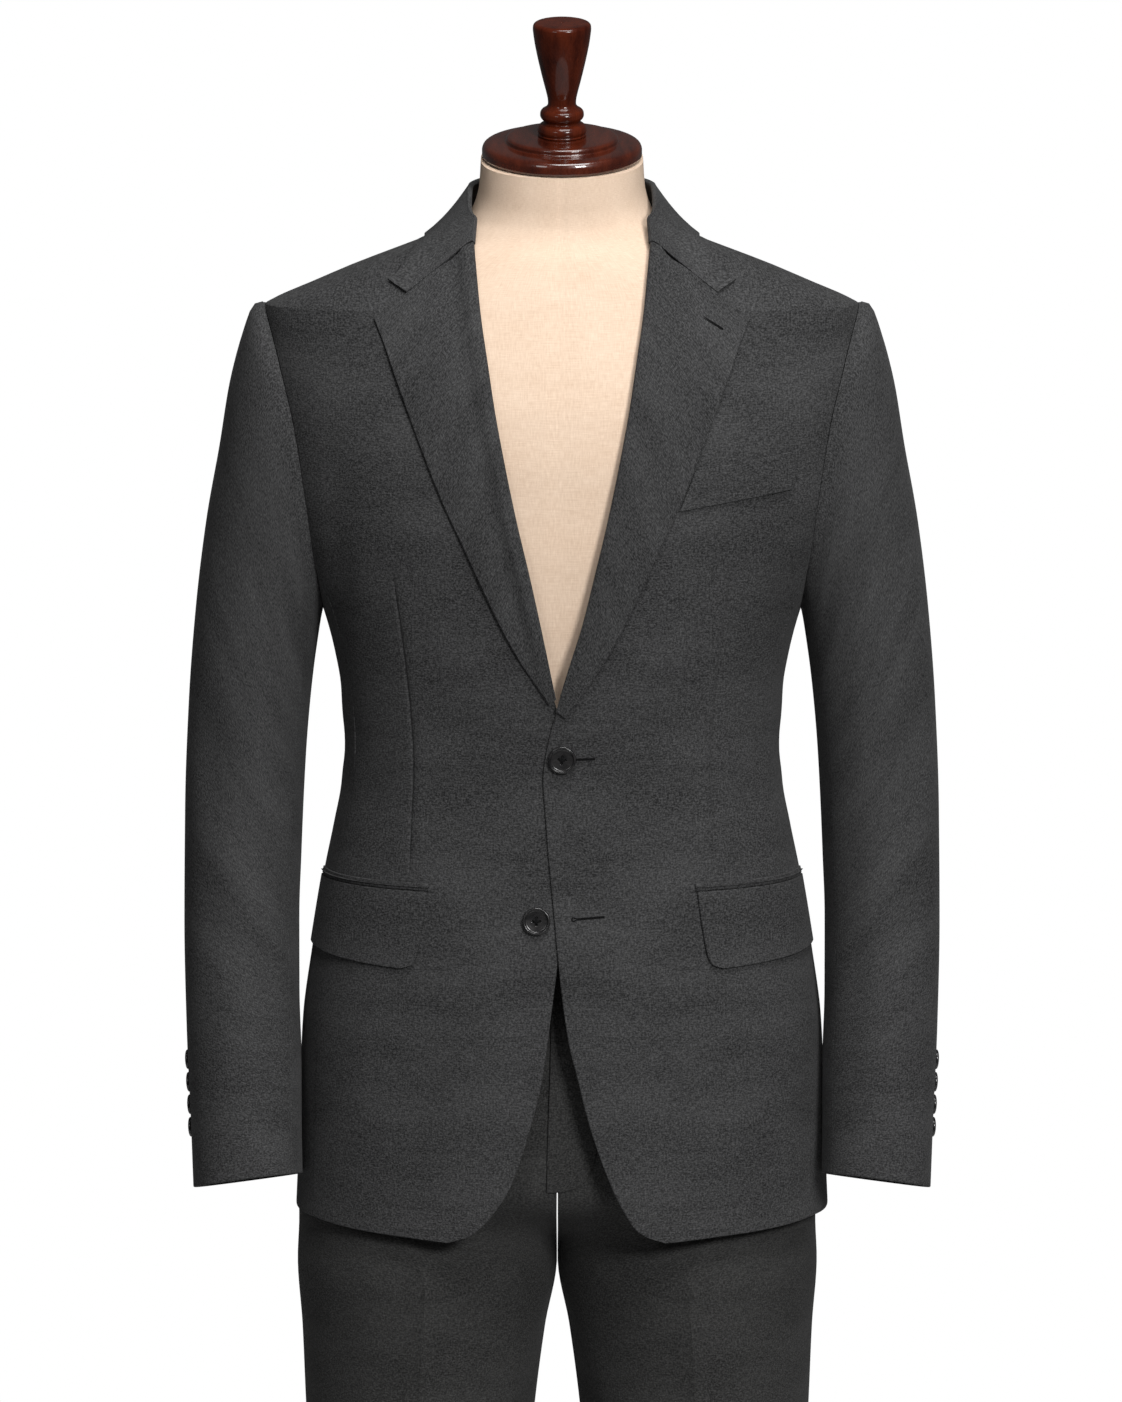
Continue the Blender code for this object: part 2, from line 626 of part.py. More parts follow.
def collar_end():
    """The collar's front end: along the gorge from the roll line to the notch, and up to its tip."""
    x, z = GORGE_TOP
    row = [on_front(x + across, z + up, out) for across, up, out in COLLAR_END_ROLL]
    for t in FALL_STEPS[:2]:
        reach = t / FALL_STEPS[2]
        place = np.array(GORGE_TOP) * (1 - reach) + np.array(NOTCH) * reach
        row.append(on_front(*place, COLLAR_OUT + GORGE_LIFT * (1 - reach) ** 2))
    row += [on_front(*NOTCH, COLLAR_OUT), on_front(*COLLAR_TIP, COLLAR_OUT)]
    return row


def collar():
    half = [collar_row(i / COLLAR_STEPS) for i in range(COLLAR_STEPS + 1)] + [collar_end()]
    other = [[point * np.array([-1.0, 1.0, 1.0]) for point in row] for row in half[:0:-1]]
    outer = np.array(other + half).transpose(1, 0, 2)
    right = np.gradient(outer, axis=1)
    rise = np.gradient(outer, axis=0)
    normal = np.cross(right, rise)
    normal /= np.linalg.norm(normal, axis=2, keepdims=True)
    close_wall("collar", outer, outer - COLLAR_THICK * normal, "worsted", 1)


def pocket_strip(name, side, rows, out, thickness):
    """A flap or a jet: from its slanted front end round to the side of the body."""
    left = [(body_angle(x, z), z) for x, z, _ in rows[::-1]]
    right = [(FLAP_SIDE_ANGLE, z) for _, _, z in rows[::-1]]
    places = ruled(left, right, FLAP_COLUMNS)
    wall(name, lambda angle, z: body_point(angle, z, out), places, thickness, "worsted", side)


def breast_welt():
    places = ruled([WELT_BOTTOM[0], WELT_TOP[0]], [WELT_BOTTOM[1], WELT_TOP[1]], 6)
    wall("breast_welt", lambda x, z: on_front(x, z, JET_OUT), places, JET_CLOTH, "worsted")


SLEEVE_AT = Curve([(i, *row) for i, row in enumerate(SLEEVE)])


def sleeve_ring(place, turn):
    """A point of the sleeve's own ring: turn is 0 at the outer side, 90 degrees in front."""
    outer_x, outer_z, inner_x, inner_z, middle_y, depth, _, lift = SLEEVE_AT(place)
    u = signed_power(math.cos(turn), 2 / ARM_ROUND)
    v = signed_power(math.sin(turn), 2 / ARM_ROUND)
    x = (outer_x + inner_x) / 2 + (outer_x - inner_x) / 2 * u
    z = (outer_z + inner_z) / 2 + (outer_z - inner_z) / 2 * u + lift * v
    return np.array([x, middle_y - depth * v, z])


def sleeve_point(turn, place):
    """A point of the sleeve: place counts the rings down from the armhole."""
    keep = SLEEVE_AT(place)[6]
    return sleeve_ring(place, turn) + keep * (armhole_point(turn, ARMHOLE_GAP) - sleeve_ring(0.0, turn))


def sleeve_panel(name, side, start, end):
    gap = SEAM / SLEEVE_RADIUS
    steps = [j / ARM_COLUMNS for j in range(ARM_COLUMNS + 1)]
    turns = [start + gap + (end - start - 2 * gap) * t for t in steps]
    places = [[(turn, place) for turn in turns] for place in range(len(SLEEVE))]
    wall(name, sleeve_point, places, CLOTH, "worsted", side)


def cuff_buttons(side, label):
    mirror = np.array([side, 1.0, 1.0])
    for number, height in enumerate(CUFF_BUTTON_HEIGHTS, 1):
        low, high = CUFF_BUTTON_RINGS
        for _ in range(30):
            place = (low + high) / 2
            if sleeve_point(CUFF_BUTTON_ANGLE, place)[2] > height:
                low = place
            else:
                high = place
        point = sleeve_point(CUFF_BUTTON_ANGLE, place)
        along = sleeve_point(CUFF_BUTTON_ANGLE, place + FACE_STEP) - point
        across = sleeve_point(CUFF_BUTTON_ANGLE + FACE_STEP, place) - point
        normal = np.cross(across, along)
        normal /= np.linalg.norm(normal)
        name = f"cuff_button_{label}_{number}"
        seat = (point + normal * BUTTON_GAP) * mirror
        turned_on(name, CUFF_BUTTON_RADIUS, seat, normal * mirror, "horn")


def leg_point(angle, z):
    inner, outer, front, back = LEG_AT(z)
    u = signed_power(math.cos(angle), 2 / LEG_ROUND)
    v = signed_power(math.sin(angle), 2 / LEG_ROUND)
    depth = front if v < 0 else back
    return np.array([(inner + outer) / 2 + (outer - inner) / 2 * u, depth * v, z])


def trouser_shift(z):
    return TROUSER_SHIFT * smoothstep((1.06 - z) / 0.16)


def trouser_point(across, z):
    """A point of one leg: across is 0 at the outer side, -1 at the centre in front, 1 at the back."""
    leg = smoothstep((SEAT_CURVE_TOP - z) / (SEAT_CURVE_TOP - CROTCH))
    on_leg = leg_point(math.pi * across, z)
    on_seat = ring_point(PELVIS_AT, ROUND, math.pi / 2 * across, max(z, PELVIS[0][0]))
    point = on_leg * leg + on_seat * (1 - leg)
    point[2] = z
    return point


def trouser_panel(name, side, facing):
    """A front (facing -1) or back (facing +1) of one leg, from the hem up to the waistband."""
    steps = [j / LEG_COLUMNS for j in range(LEG_COLUMNS + 1)]
    places = []
    for z in TROUSER_LEVELS:
        first = LEG_SEAM
        last = 1 - (LEG_SEAM if z <= CROTCH else CENTRE_SEAM)
        line = [(facing * (first + (last - first) * t), z) for t in steps]
        places.append(line if facing > 0 else line[::-1])

    def surface(across, z):
        return trouser_point(across, z) + np.array([side * trouser_shift(z), 0.0, 0.0])

    wall(name, surface, places, CLOTH, "trouser_worsted", side)


def fly():
    def surface(x, z):
        angle = -math.acos(signed_power(x / PELVIS_AT(z)[0], ROUND / 2))
        point = ring_point(PELVIS_AT, ROUND, angle, z, FLY_LIFT)
        return point + np.array([trouser_shift(z), 0.0, 0.0])

    left = [(start, z) for start, _, z in FLY_ROWS]
    right = [(end, z) for _, end, z in FLY_ROWS]
    wall("fly", surface, ruled(left, right, 4), FLY_THICK, "trouser_worsted")


def waistband():
    def surface(turn, z):
        return ring_point(FORM_AT, ROUND, turn, z, WAISTBAND_THICK + WAISTBAND_GAP) * (1, 1, 0) + (0, 0, z)

    turns = [2 * math.pi * j / FORM_COLUMNS for j in range(FORM_COLUMNS)]
    places = [[(turn, z) for turn in turns] for z in (WAISTBAND_BOTTOM, WAISTBAND_TOP)]
    wall("waistband", surface, places, WAISTBAND_THICK, "trouser_worsted", closed=True)


def form_torso():
    points = []
    for z, *_ in FORM:
        tilt = math.tan(NECK_TILT) * smoothstep((z - NECK_TILT_FROM) / (NECK_TOP - NECK_TILT_FROM))
        for j in range(FORM_COLUMNS):
            point = ring_point(FORM_AT, ROUND, 2 * math.pi * j / FORM_COLUMNS, z)
            point[2] += tilt * point[1]
            points.append(point)
    stacked("form_torso", points, FORM_COLUMNS, "form_cloth")


def neck_cap_and_finial():
    axis = np.array([0.0, -math.sin(NECK_TILT), math.cos(NECK_TILT)])
    centre_y = (FORM[-1][3] - FORM[-1][2]) / 2
    seat = np.array([0.0, centre_y, NECK_TOP + math.tan(NECK_TILT) * centre_y])
    cap = turned("neck_cap", CAP_PROFILE, "mahogany", segments=28)
    cap.location = seat + axis * REST_GAP
    finial = turned("finial", FINIAL_PROFILE, "mahogany", segments=16)
    finial.location = seat + axis * (CAP_PROFILE[-1][1] + 2 * REST_GAP)
    for made in (cap, finial):
        made.rotation_euler = (NECK_TILT, 0.0, 0.0)


def stand():
    profile = [(radius * BASE_RADIUS, height) for radius, height in BASE_PROFILE]
    turned("base", profile, "steel", segments=40)
    foot, head = BASE_PROFILE[-1][1] + REST_GAP, FORM[0][0] - REST_GAP
    pole = turned("pole", [(POLE_RADIUS, 0.0), (POLE_RADIUS, head - foot)], "steel", segments=16)
    pole.location = (POLE_X, 0.0, foot)


def jacket():
    front_panel("front_left", 1, OVER_EDGE)
    front_panel("front_right", -1, UNDER_EDGE)
    lapel("lapel_left", 1, OVER_LAPEL_FOLD, OVER_LAPEL_TIP)
    lapel("lapel_right", -1, UNDER_LAPEL_FOLD, UNDER_LAPEL_TIP)
    collar()
    breast_welt()
    for side, label in ((1, "left"), (-1, "right")):
        side_panel(f"side_{label}", side)
        back_panel(f"back_{label}", side)
        pocket_strip(f"flap_{label}", side, FLAP_ROWS, FLAP_OUT, FLAP_CLOTH)
        pocket_strip(f"jet_{label}", side, JET_ROWS, JET_OUT, JET_CLOTH)
        sleeve_panel(f"top_sleeve_{label}", side, SLEEVE_BACK_SEAM, SLEEVE_FRONT_SEAM)
        full_turn = 2 * math.pi
        sleeve_panel(f"under_sleeve_{label}", side, SLEEVE_FRONT_SEAM, SLEEVE_BACK_SEAM + full_turn)
        cuff_buttons(side, label)
    normal = front_normal(*TOP_BUTTON)
    turned_on("button_top", BUTTON_RADIUS, on_front(*TOP_BUTTON, OVERLAP_LIFT + BUTTON_GAP), normal, "horn")
    mirror = np.array([-1.0, 1.0, 1.0])
    normal = front_normal(*LOWER_BUTTON) * mirror
    turned_on("button_lower", BUTTON_RADIUS, on_front(*LOWER_BUTTON, BUTTON_GAP) * mirror, normal, "horn")


def trousers():
    for side, label in ((1, "left"), (-1, "right")):
        trouser_panel(f"trouser_front_{label}", side, -1)
        trouser_panel(f"trouser_back_{label}", side, 1)
    waistband()
    fly()


def dress_form():
    form_torso()
    neck_cap_and_finial()
    stand()


def main():
    for old in list(bpy.data.objects):
        bpy.data.objects.remove(old)
    jacket()
    trousers()
    dress_form()


if __name__ == "__main__":
    main()
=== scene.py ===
"""Looks for a two-piece business suit worn by a limbless dress form on its stand.

Every cloth piece is worked out again, finer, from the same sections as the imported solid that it
stands for, with rolled edges, a soft lapel roll, darts, creases and a weave laid along its cut.
Metres, +Z up; the suit faces -Y and the wearer's left is +X.
"""

import logging
import math
from dataclasses import dataclass, field
from enum import Enum
from typing import Callable

import bpy
import numpy as np
from mathutils import Euler, Matrix, Vector


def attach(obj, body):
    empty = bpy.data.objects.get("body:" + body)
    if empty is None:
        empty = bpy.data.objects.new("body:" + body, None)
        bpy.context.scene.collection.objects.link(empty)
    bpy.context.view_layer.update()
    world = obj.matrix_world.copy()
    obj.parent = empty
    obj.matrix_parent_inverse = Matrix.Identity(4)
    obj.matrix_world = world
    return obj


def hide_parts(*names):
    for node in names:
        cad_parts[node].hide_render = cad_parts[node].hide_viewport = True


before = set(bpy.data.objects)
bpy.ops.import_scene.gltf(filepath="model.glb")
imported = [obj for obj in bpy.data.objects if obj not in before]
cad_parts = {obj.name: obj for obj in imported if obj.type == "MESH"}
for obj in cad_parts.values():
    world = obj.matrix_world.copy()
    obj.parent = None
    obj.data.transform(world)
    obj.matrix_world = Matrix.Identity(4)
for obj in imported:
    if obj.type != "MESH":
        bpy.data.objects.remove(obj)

Rows = tuple[tuple[float, ...], ...]
Colour = tuple[float, float, float]
log = logging.getLogger("suit")

ROOT = "root"
NARROWEST = 0.0101
# The shortest side that a wall's cloth is taken to have, in metres.
"""The shortest side that a sheet is declared with, in metres."""
LEAST_FILL = 0.31
# The least share of its rectangle that a wall's cloth is taken to fill.
"""The least share of its rectangle that a sheet is declared to fill."""
MIRROR = np.array([-1.0, 1.0, 1.0])
CRISP = 35.0
"""Edges of turned pieces that bend more than this many degrees stay crisp."""


class Side(Enum):
    """The wearer's side that a piece is on."""

    LEFT = 1
    RIGHT = -1

    @property
    def label(self) -> str:
        """The side's name in node names."""
        return self.name.lower()


class Held(Enum):
    """How a cloth piece is carried."""

    DRAPED = "draped"
    HUNG = "hung"
    LAID = "laid"


# Curves and surfaces


class Curve:
    """Smooth values through the rows of a table whose first column runs upward."""

    def __init__(self, rows: Rows) -> None:
        """Takes the rows: a place, then the values there."""
        table = np.array(rows, float)
        self.at = table[:, 0]
        self.values = table[:, 1:]
        rise = np.diff(self.values, axis=0) / np.diff(self.at)[:, None]
        total = rise[:-1] + rise[1:]
        product = rise[:-1] * rise[1:]
        same_way = product > 0
        mean = np.where(same_way, 2 * product / np.where(same_way, total, 1.0), 0.0)
        self.slope = np.vstack([rise[:1], mean, rise[-1:]])

    def __call__(self, at: np.ndarray | float) -> np.ndarray:
        """The values at one or many places.

        Args:
            at: the places, of any shape.

        Returns:
            The values, with one more axis for the table's columns.
        """
        at = np.clip(np.asarray(at, float), self.at[0], self.at[-1])
        k = np.clip(np.searchsorted(self.at, at) - 1, 0, len(self.at) - 2)
        step = (self.at[k + 1] - self.at[k])[..., None]
        t = ((at - self.at[k]) / (self.at[k + 1] - self.at[k]))[..., None]
        start = (1 + 2 * t) * (1 - t) ** 2 * self.values[k] + t * (1 - t) ** 2 * step * self.slope[k]
        end = t * t * (3 - 2 * t) * self.values[k + 1] + t * t * (t - 1) * step * self.slope[k + 1]
        return start + end


def outline(points: Rows) -> Curve:
    """A curve through listed points, from 0 at the first to 1 at the last."""
    last = len(points) - 1
    return Curve(tuple((i / last, *point) for i, point in enumerate(points)))


def counted(rows: Rows | np.ndarray) -> Curve:
    """A curve through rows whose places are 0, 1, 2 and so on."""
    return Curve(tuple((i, *row) for i, row in enumerate(rows)))


def signed_power(value: np.ndarray, power: float) -> np.ndarray:
    """A power that keeps the sign."""
    return np.sign(value) * np.abs(value) ** power


def smoothstep(value: np.ndarray | float) -> np.ndarray:
    """A soft step from 0 to 1."""
    value = np.clip(value, 0.0, 1.0)
    return value * value * (3 - 2 * value)


def bell(value: np.ndarray | float, width: float) -> np.ndarray:
    """A soft bump of height 1 at 0."""
    return np.exp(-((np.asarray(value) / width) ** 2))


def along_line(points: np.ndarray) -> np.ndarray:
    """How far along a line of points each lies."""
    return np.concatenate([[0.0], np.cumsum(np.linalg.norm(np.diff(points, axis=0), axis=1))])


def along_grid(grid: np.ndarray, axis: int) -> np.ndarray:
    """How far each point of a grid lies along its row (axis 1) or its column (axis 0)."""
    steps = np.cumsum(np.linalg.norm(np.diff(grid, axis=axis), axis=-1), axis=axis)
    return np.insert(steps, 0, 0.0, axis=axis)


@dataclass
class Rings:
    """A tube of level sections: height, half width, depth to the front, depth to the back."""

    rows: Rows
    roundness: float
    slope_step: float = 0.0005
    past_front: float = 0.5
    girth_steps: int = 241

    def __post_init__(self) -> None:
        """Makes the curve through the rows."""
        self.curve = Curve(self.rows)

    def point(self, angle: np.ndarray, z: np.ndarray, out: np.ndarray | float = 0.0) -> np.ndarray:
        """Points of the tube, moved out along its own direction.

        Args:
            angle: 0 at the wearer's left side and -90 degrees in front.
            z: heights.
            out: how far out.

        Returns:
            Points, with one more axis for x, y and z.
        """
        angle, z, out = np.broadcast_arrays(*(np.asarray(v, float) for v in (angle, z, out)))
        size = self.curve(z)
        step = self.slope_step
        slope = (self.curve(z + step) - self.curve(z - step)) / (2 * step)
        c, s = np.cos(angle), np.sin(angle)
        width, depth = size[..., 0], np.where(s < 0, size[..., 1], size[..., 2])
        depth_slope = np.where(s < 0, slope[..., 1], slope[..., 2])
        u, v = signed_power(c, 2 / self.roundness), signed_power(s, 2 / self.roundness)
        fall = np.abs(u) ** self.roundness * slope[..., 0] / width
        fall = fall + np.abs(v) ** self.roundness * depth_slope / depth
        power = self.roundness - 1
        away = np.stack([signed_power(u, power) / width, signed_power(v, power) / depth, -fall], axis=-1)
        away /= np.linalg.norm(away, axis=-1, keepdims=True)
        return np.stack([width * u, depth * v, z], axis=-1) + out[..., None] * away

    def front_angle(self, x: np.ndarray, z: np.ndarray) -> np.ndarray:
        """The angle at which the front lies this far from the centre."""
        ratio = np.clip(np.asarray(x) / self.curve(z)[..., 0], -1.0, 1.0)
        return -np.arccos(signed_power(ratio, self.roundness / 2))

    def girth(self, angle: np.ndarray, z: np.ndarray) -> np.ndarray:
        """How far round each point lies from the centre of the front, a row at a time."""
        front = -math.pi / 2
        turns = np.linspace(front - self.past_front, math.pi / 2, self.girth_steps)
        rows = []
        for line, height in zip(angle, z.mean(axis=1)):
            ring = self.point(turns, np.full_like(turns, height))
            along = along_line(ring)
            rows.append(np.interp(line, turns, along) - np.interp(front, turns, along))
        return np.array(rows)


@dataclass(frozen=True)
class Crease:
    """A soft trough (height below 0) or ridge between two places, with uneven flanks."""

    start: tuple[float, float]
    end: tuple[float, float]
    width: float
    height: float
    stretch: float = 1.0
    flank: float = 1.6
    wander: float = 0.25
    rebound: float = 0.35

    def relief(self, across: np.ndarray, up: np.ndarray) -> np.ndarray:
        """How far the crease moves the cloth out at each place.

        Args:
            across: first coordinate of the places.
            up: second coordinate, multiplied by stretch so that both are lengths.

        Returns:
            Lengths, positive outward.
        """
        a = np.array([self.start[0], self.start[1] * self.stretch])
        way = np.array([self.end[0], self.end[1] * self.stretch]) - a
        long = float(np.linalg.norm(way))
        along = ((across - a[0]) * way[0] + (up * self.stretch - a[1]) * way[1]) / long
        off = ((across - a[0]) * -way[1] + (up * self.stretch - a[1]) * way[0]) / long
        t = along / long
        off = off + self.wander * self.width * np.sin(t * 5.0 + self.start[1] * 7.0)
        wide = np.where(off > 0, self.width * self.flank, self.width)
        ends = smoothstep((t + 0.25) / 0.5) * smoothstep((1.25 - t) / 0.5)
        trough = np.exp(-((off / wide) ** 2)) - self.rebound * bell(off, 2.6 * self.width)
        return self.height * ends * trough


def crease_table(*rows: tuple[float, ...], stretch: float = 1.0) -> tuple[Crease, ...]:
    """Creases from rows of two start numbers, two end numbers, a width and a height."""
    return tuple(Crease(row[0:2], row[2:4], *row[4:], stretch) for row in rows)


def creased(creases: tuple[Crease, ...], across: np.ndarray, up: np.ndarray) -> np.ndarray:
    """The sum of several creases at each place."""
    total = np.zeros(np.broadcast(across, up).shape)
    for crease in creases:
        total = total + crease.relief(across, up)
    return total


# Cloth walls

FINE = (0.0, 0.00025, 0.0006, 0.0011, 0.0019, 0.0032)
"""Distances from an edge of the closer points that its roll needs."""


def graded(length: float, step: float, fine: tuple[bool, bool] = (True, True)) -> np.ndarray:
    """Places from 0 to length, close together at the ends that are rolled."""
    near = np.array(FINE)
    start = near if fine[0] else near[:1]
    end = length - (near if fine[1] else near[:1])[::-1]
    inner = np.linspace(start[-1], end[0], max(int((end[0] - start[-1]) / step), 2) + 1)
    return np.concatenate([start[:-1], inner, end[1:]])


def between(lines: list[np.ndarray], widths: list[np.ndarray], step: float) -> np.ndarray:
    """Places in rows through several lines, close together beside each of them.

    Args:
        lines: arrays of places (rows, 2), left to right.
        widths: for each pair of neighbouring lines, the distance between them at each row.
        step: the usual distance between columns.

    Returns:
        Places (rows, columns, 2).
    """
    found = []
    for i, (left, right) in enumerate(zip(lines, lines[1:])):
        wide = widths[i]
        share = graded(float(wide.max()), step) / float(wide.max())
        near = np.array(FINE)
        many = len(share)
        shares = np.repeat(share[None, :], len(left), axis=0)
        for k in range(1, len(near)):
            reach = np.minimum(near[k] / wide, share[many // 2] * k / len(near))
            shares[:, k], shares[:, many - 1 - k] = reach, 1 - reach
        shares = np.sort(shares, axis=1)
        block = left[:, None, :] * (1 - shares[..., None]) + right[:, None, :] * shares[..., None]
        found.append(block if i == 0 else block[:, 1:])
    return np.concatenate(found, axis=1)


def directions(grid: np.ndarray, closed: bool = False) -> np.ndarray:
    """The outward direction at each point of a grid seen from outside, rows upward."""
    if closed:
        across = np.roll(grid, -1, axis=1) - np.roll(grid, 1, axis=1)
    else:
        across = np.gradient(grid, axis=1)
    away = np.cross(across, np.gradient(grid, axis=0))
    return away / np.maximum(np.linalg.norm(away, axis=-1, keepdims=True), 1e-12)


@dataclass(frozen=True)
class Cut:
    """How a wall of cloth is cut: its thickness and the roll of its left, right, low and high edges."""

    thick: float = 0.0016
    rolls: tuple[float, float, float, float] = (0.0005, 0.0005, 0.0005, 0.0005)
    turn: float = 0.0
    closed: bool = False


@dataclass
class Panel:
    """One cloth wall, built from a grid of points on its outer face.

    Attributes:
        node: the CAD node that it stands for; the piece is called after it.
        grid: points of the outer face, rows upward and seen from outside.
        cut: its thickness and the roll of its edges.
        relief: how far creases and folds move it out.
        flat: where each point lies in the flat cloth, if that isn't measured along the grid.
        side: the right side's panels are made for the left and mirrored.
    """

    node: str
    grid: np.ndarray
    cut: Cut = field(default_factory=Cut)
    relief: np.ndarray | float = 0.0
    flat: np.ndarray | None = None
    side: Side = Side.LEFT

    def edge_drop(self) -> np.ndarray:
        """How far each point sinks where the cloth rolls over its edges."""
        across, up = along_grid(self.grid, 1), along_grid(self.grid, 0)
        drop = np.zeros(self.grid.shape[:2])
        gaps = (across, across[:, -1:] - across, up, up[-1:] - up)
        for gap, roll in zip(gaps, self.cut.rolls):
            if roll > 0:
                near = 1 - np.minimum(gap / roll, 1.0)
                drop = np.maximum(drop, roll * (1 - np.sqrt(1 - near * near)))
        return drop

    def weave_places(self) -> np.ndarray:
        """Where each point lies in the flat cloth, in metres."""
        if self.flat is not None:
            return self.flat
        middle = self.grid.shape[1] // 2
        across = along_grid(self.grid, 1)
        across = across - across[:, middle:middle + 1]
        up = np.repeat(along_line(self.grid[:, middle])[:, None], self.grid.shape[1], axis=1)
        c, s = math.cos(self.cut.turn), math.sin(self.cut.turn)
        return np.stack([c * across - s * up, s * across + c * up], axis=-1)

    def faces(self, rows: int, columns: int) -> np.ndarray:
        """The wall's faces: outer, inner and rim."""
        around = columns if self.cut.closed else columns - 1
        i, j = np.meshgrid(np.arange(rows - 1), np.arange(around), indexing="ij")
        k = (j + 1) % columns
        low, high, below = i * columns, (i + 1) * columns, rows * columns
        outer = np.stack([low + j, low + k, high + k, high + j], axis=-1).reshape(-1, 4)
        inner = below + np.stack([low + k, low + j, high + j, high + k], axis=-1).reshape(-1, 4)
        j = np.arange(around)
        k = (j + 1) % columns
        top = (rows - 1) * columns
        rims = [np.stack([j, k], axis=1), np.stack([top + k, top + j], axis=1)]
        if not self.cut.closed:
            i = np.arange(rows - 1)
            rims.append(np.stack([(i + 1) * columns, i * columns], axis=1))
            rims.append(np.stack([i * columns + around, (i + 1) * columns + around], axis=1))
        rim = np.vstack(rims)
        rim = np.stack([rim[:, 1], rim[:, 0], below + rim[:, 0], below + rim[:, 1]], axis=1)
        return np.vstack([outer, inner, rim])

    def build(self, material: bpy.types.Material, slot: str) -> bpy.types.Object:
        """Makes the wall, dresses it and lets it ride on the suit."""
        away = directions(self.grid, self.cut.closed)
        relief = np.broadcast_to(np.asarray(self.relief, float), self.grid.shape[:2])
        outer = self.grid + (relief - self.edge_drop())[..., None] * away
        inner = self.grid + (relief - self.cut.thick)[..., None] * away
        flat = self.weave_places()
        if self.side is Side.RIGHT:
            outer, inner, flat = outer[:, ::-1] * MIRROR, inner[:, ::-1] * MIRROR, flat[:, ::-1]
        rows, columns = outer.shape[:2]
        faces = self.faces(rows, columns)
        points = np.vstack([outer.reshape(-1, 3), inner.reshape(-1, 3)])
        piece = mesh_piece(f"{self.node}_cloth", points, faces, material, self.node)
        lay_cut(piece, np.vstack([flat.reshape(-1, 2)] * 2))
        return piece

    def make(self, material: bpy.types.Material, slot: str, rests_on: list[str]) -> None:
        """Builds the wall and works out the area of the cloth that shows.

        Args:
            material: the finish.
            slot: the record's material slot; not used.
            rests_on: names of the pieces that carry it; not used.
        """
        piece = self.build(material, slot)
        a, b = self.grid[:-1, :-1], self.grid[:-1, 1:]
        c, d = self.grid[1:, 1:], self.grid[1:, :-1]
        area = np.linalg.norm(np.cross(c - a, d - b), axis=-1).sum() / 2
        wide = float(np.linalg.norm(np.diff(self.grid, axis=1), axis=-1).sum(axis=1).max())
        if self.cut.closed:
            wide += float(np.linalg.norm(self.grid[:, 0] - self.grid[:, -1], axis=-1).max())
        long = float(np.linalg.norm(np.diff(self.grid, axis=0), axis=-1).sum(axis=0).max())
        long = max(long, NARROWEST)
        area = float(min(max(area, LEAST_FILL * wide * long), wide * long))


def mesh_piece(
    name: str,
    points: np.ndarray,
    faces: np.ndarray | list,
    material: bpy.types.Material,
    node: str | None = None,
    sharp: float = 50.0,
) -> bpy.types.Object:
    """Makes a smooth mesh, dresses it and lets it ride on the suit.

    Args:
        name: the piece's name.
        points: its points.
        faces: indices of each face's points.
        material: the finish.
        node: the CAD node that it stands for.
        sharp: edges turned more than this many degrees stay crisp.

    Returns:
        The piece.
    """
    mesh = bpy.data.meshes.new(name)
    mesh.from_pydata(np.asarray(points, float).tolist(), [], [list(map(int, face)) for face in faces])
    mesh.shade_smooth()
    mesh.set_sharp_from_angle(angle=math.radians(sharp))
    mesh.materials.append(material)
    piece = link(name, mesh)
    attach(piece, ROOT)
    if node:
        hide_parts(node)
    log.info("%s: %d faces", name, len(mesh.polygons))
    return piece


def link(name: str, data: bpy.types.ID) -> bpy.types.Object:
    """A new object in the scene that shows this data."""
    made = bpy.data.objects.new(name, data)
    bpy.context.scene.collection.objects.link(made)
    return made


def lay_cut(piece: bpy.types.Object, places: np.ndarray) -> None:
    """Stores where each point of a piece lies in the flat cloth, for its weave."""
    corners = np.empty(len(piece.data.loops), np.int32)
    piece.data.loops.foreach_get("vertex_index", corners)
    layer = piece.data.uv_layers.new(name="cut")
    layer.data.foreach_set("uv", places[corners].astype(np.float32).reshape(-1))


def ring_faces(rings: int, segments: int, base: int = 0, joined: bool = False) -> list[tuple[int, ...]]:
    """Quads between rings of points that follow each other, each ring closed.

    Args:
        rings: how many rings there are.
        segments: points in each ring.
        base: index of the first point.
        joined: whether the last ring meets the first one.

    Returns:
        Indices of each face's points.
    """
    faces = []
    for i in range(rings if joined else rings - 1):
        low, high = base + i * segments, base + (i + 1) % rings * segments
        for j in range(segments):
            k = (j + 1) % segments
            faces.append((low + j, low + k, high + k, high + j))
    return faces


def capped(rings: int, segments: int) -> list[tuple[int, ...]]:
    """Faces of closed rings with a flat face at each end."""
    top = (rings - 1) * segments
    ends = [tuple(range(segments))[::-1], tuple(range(top, top + segments))]
    return ring_faces(rings, segments) + ends


def lathe(profile: np.ndarray, segments: int) -> tuple[np.ndarray, list]:
    """Points and faces of a shape turned about Z from rows of radius and height."""
    turns = np.arange(segments) * 2 * math.pi / segments
    radius, height = profile[:, 0], profile[:, 1]
    points = np.stack([
        radius[:, None] * np.cos(turns), radius[:, None] * np.sin(turns),
        np.repeat(height[:, None], segments, axis=1),
    ], axis=-1).reshape(-1, 3)
    return points, capped(len(profile), segments)


def placed(points: np.ndarray, point: np.ndarray, normal: np.ndarray, spin: float = 0.0) -> np.ndarray:
    """Points made about Z, stood on a point with their axis along a normal."""
    turn = Vector(normal).to_track_quat("Z", "Y").to_matrix() @ Matrix.Rotation(spin, 3, "Z")
    return points @ np.array(turn).T + point


# Shader maths and finishes

MIX_FIRST, MIX_SECOND = 6, 7
"""The colour inputs of a Mix node, which share their names with its other inputs."""
MIX_COLOUR = 2
"""The colour output of a Mix node."""


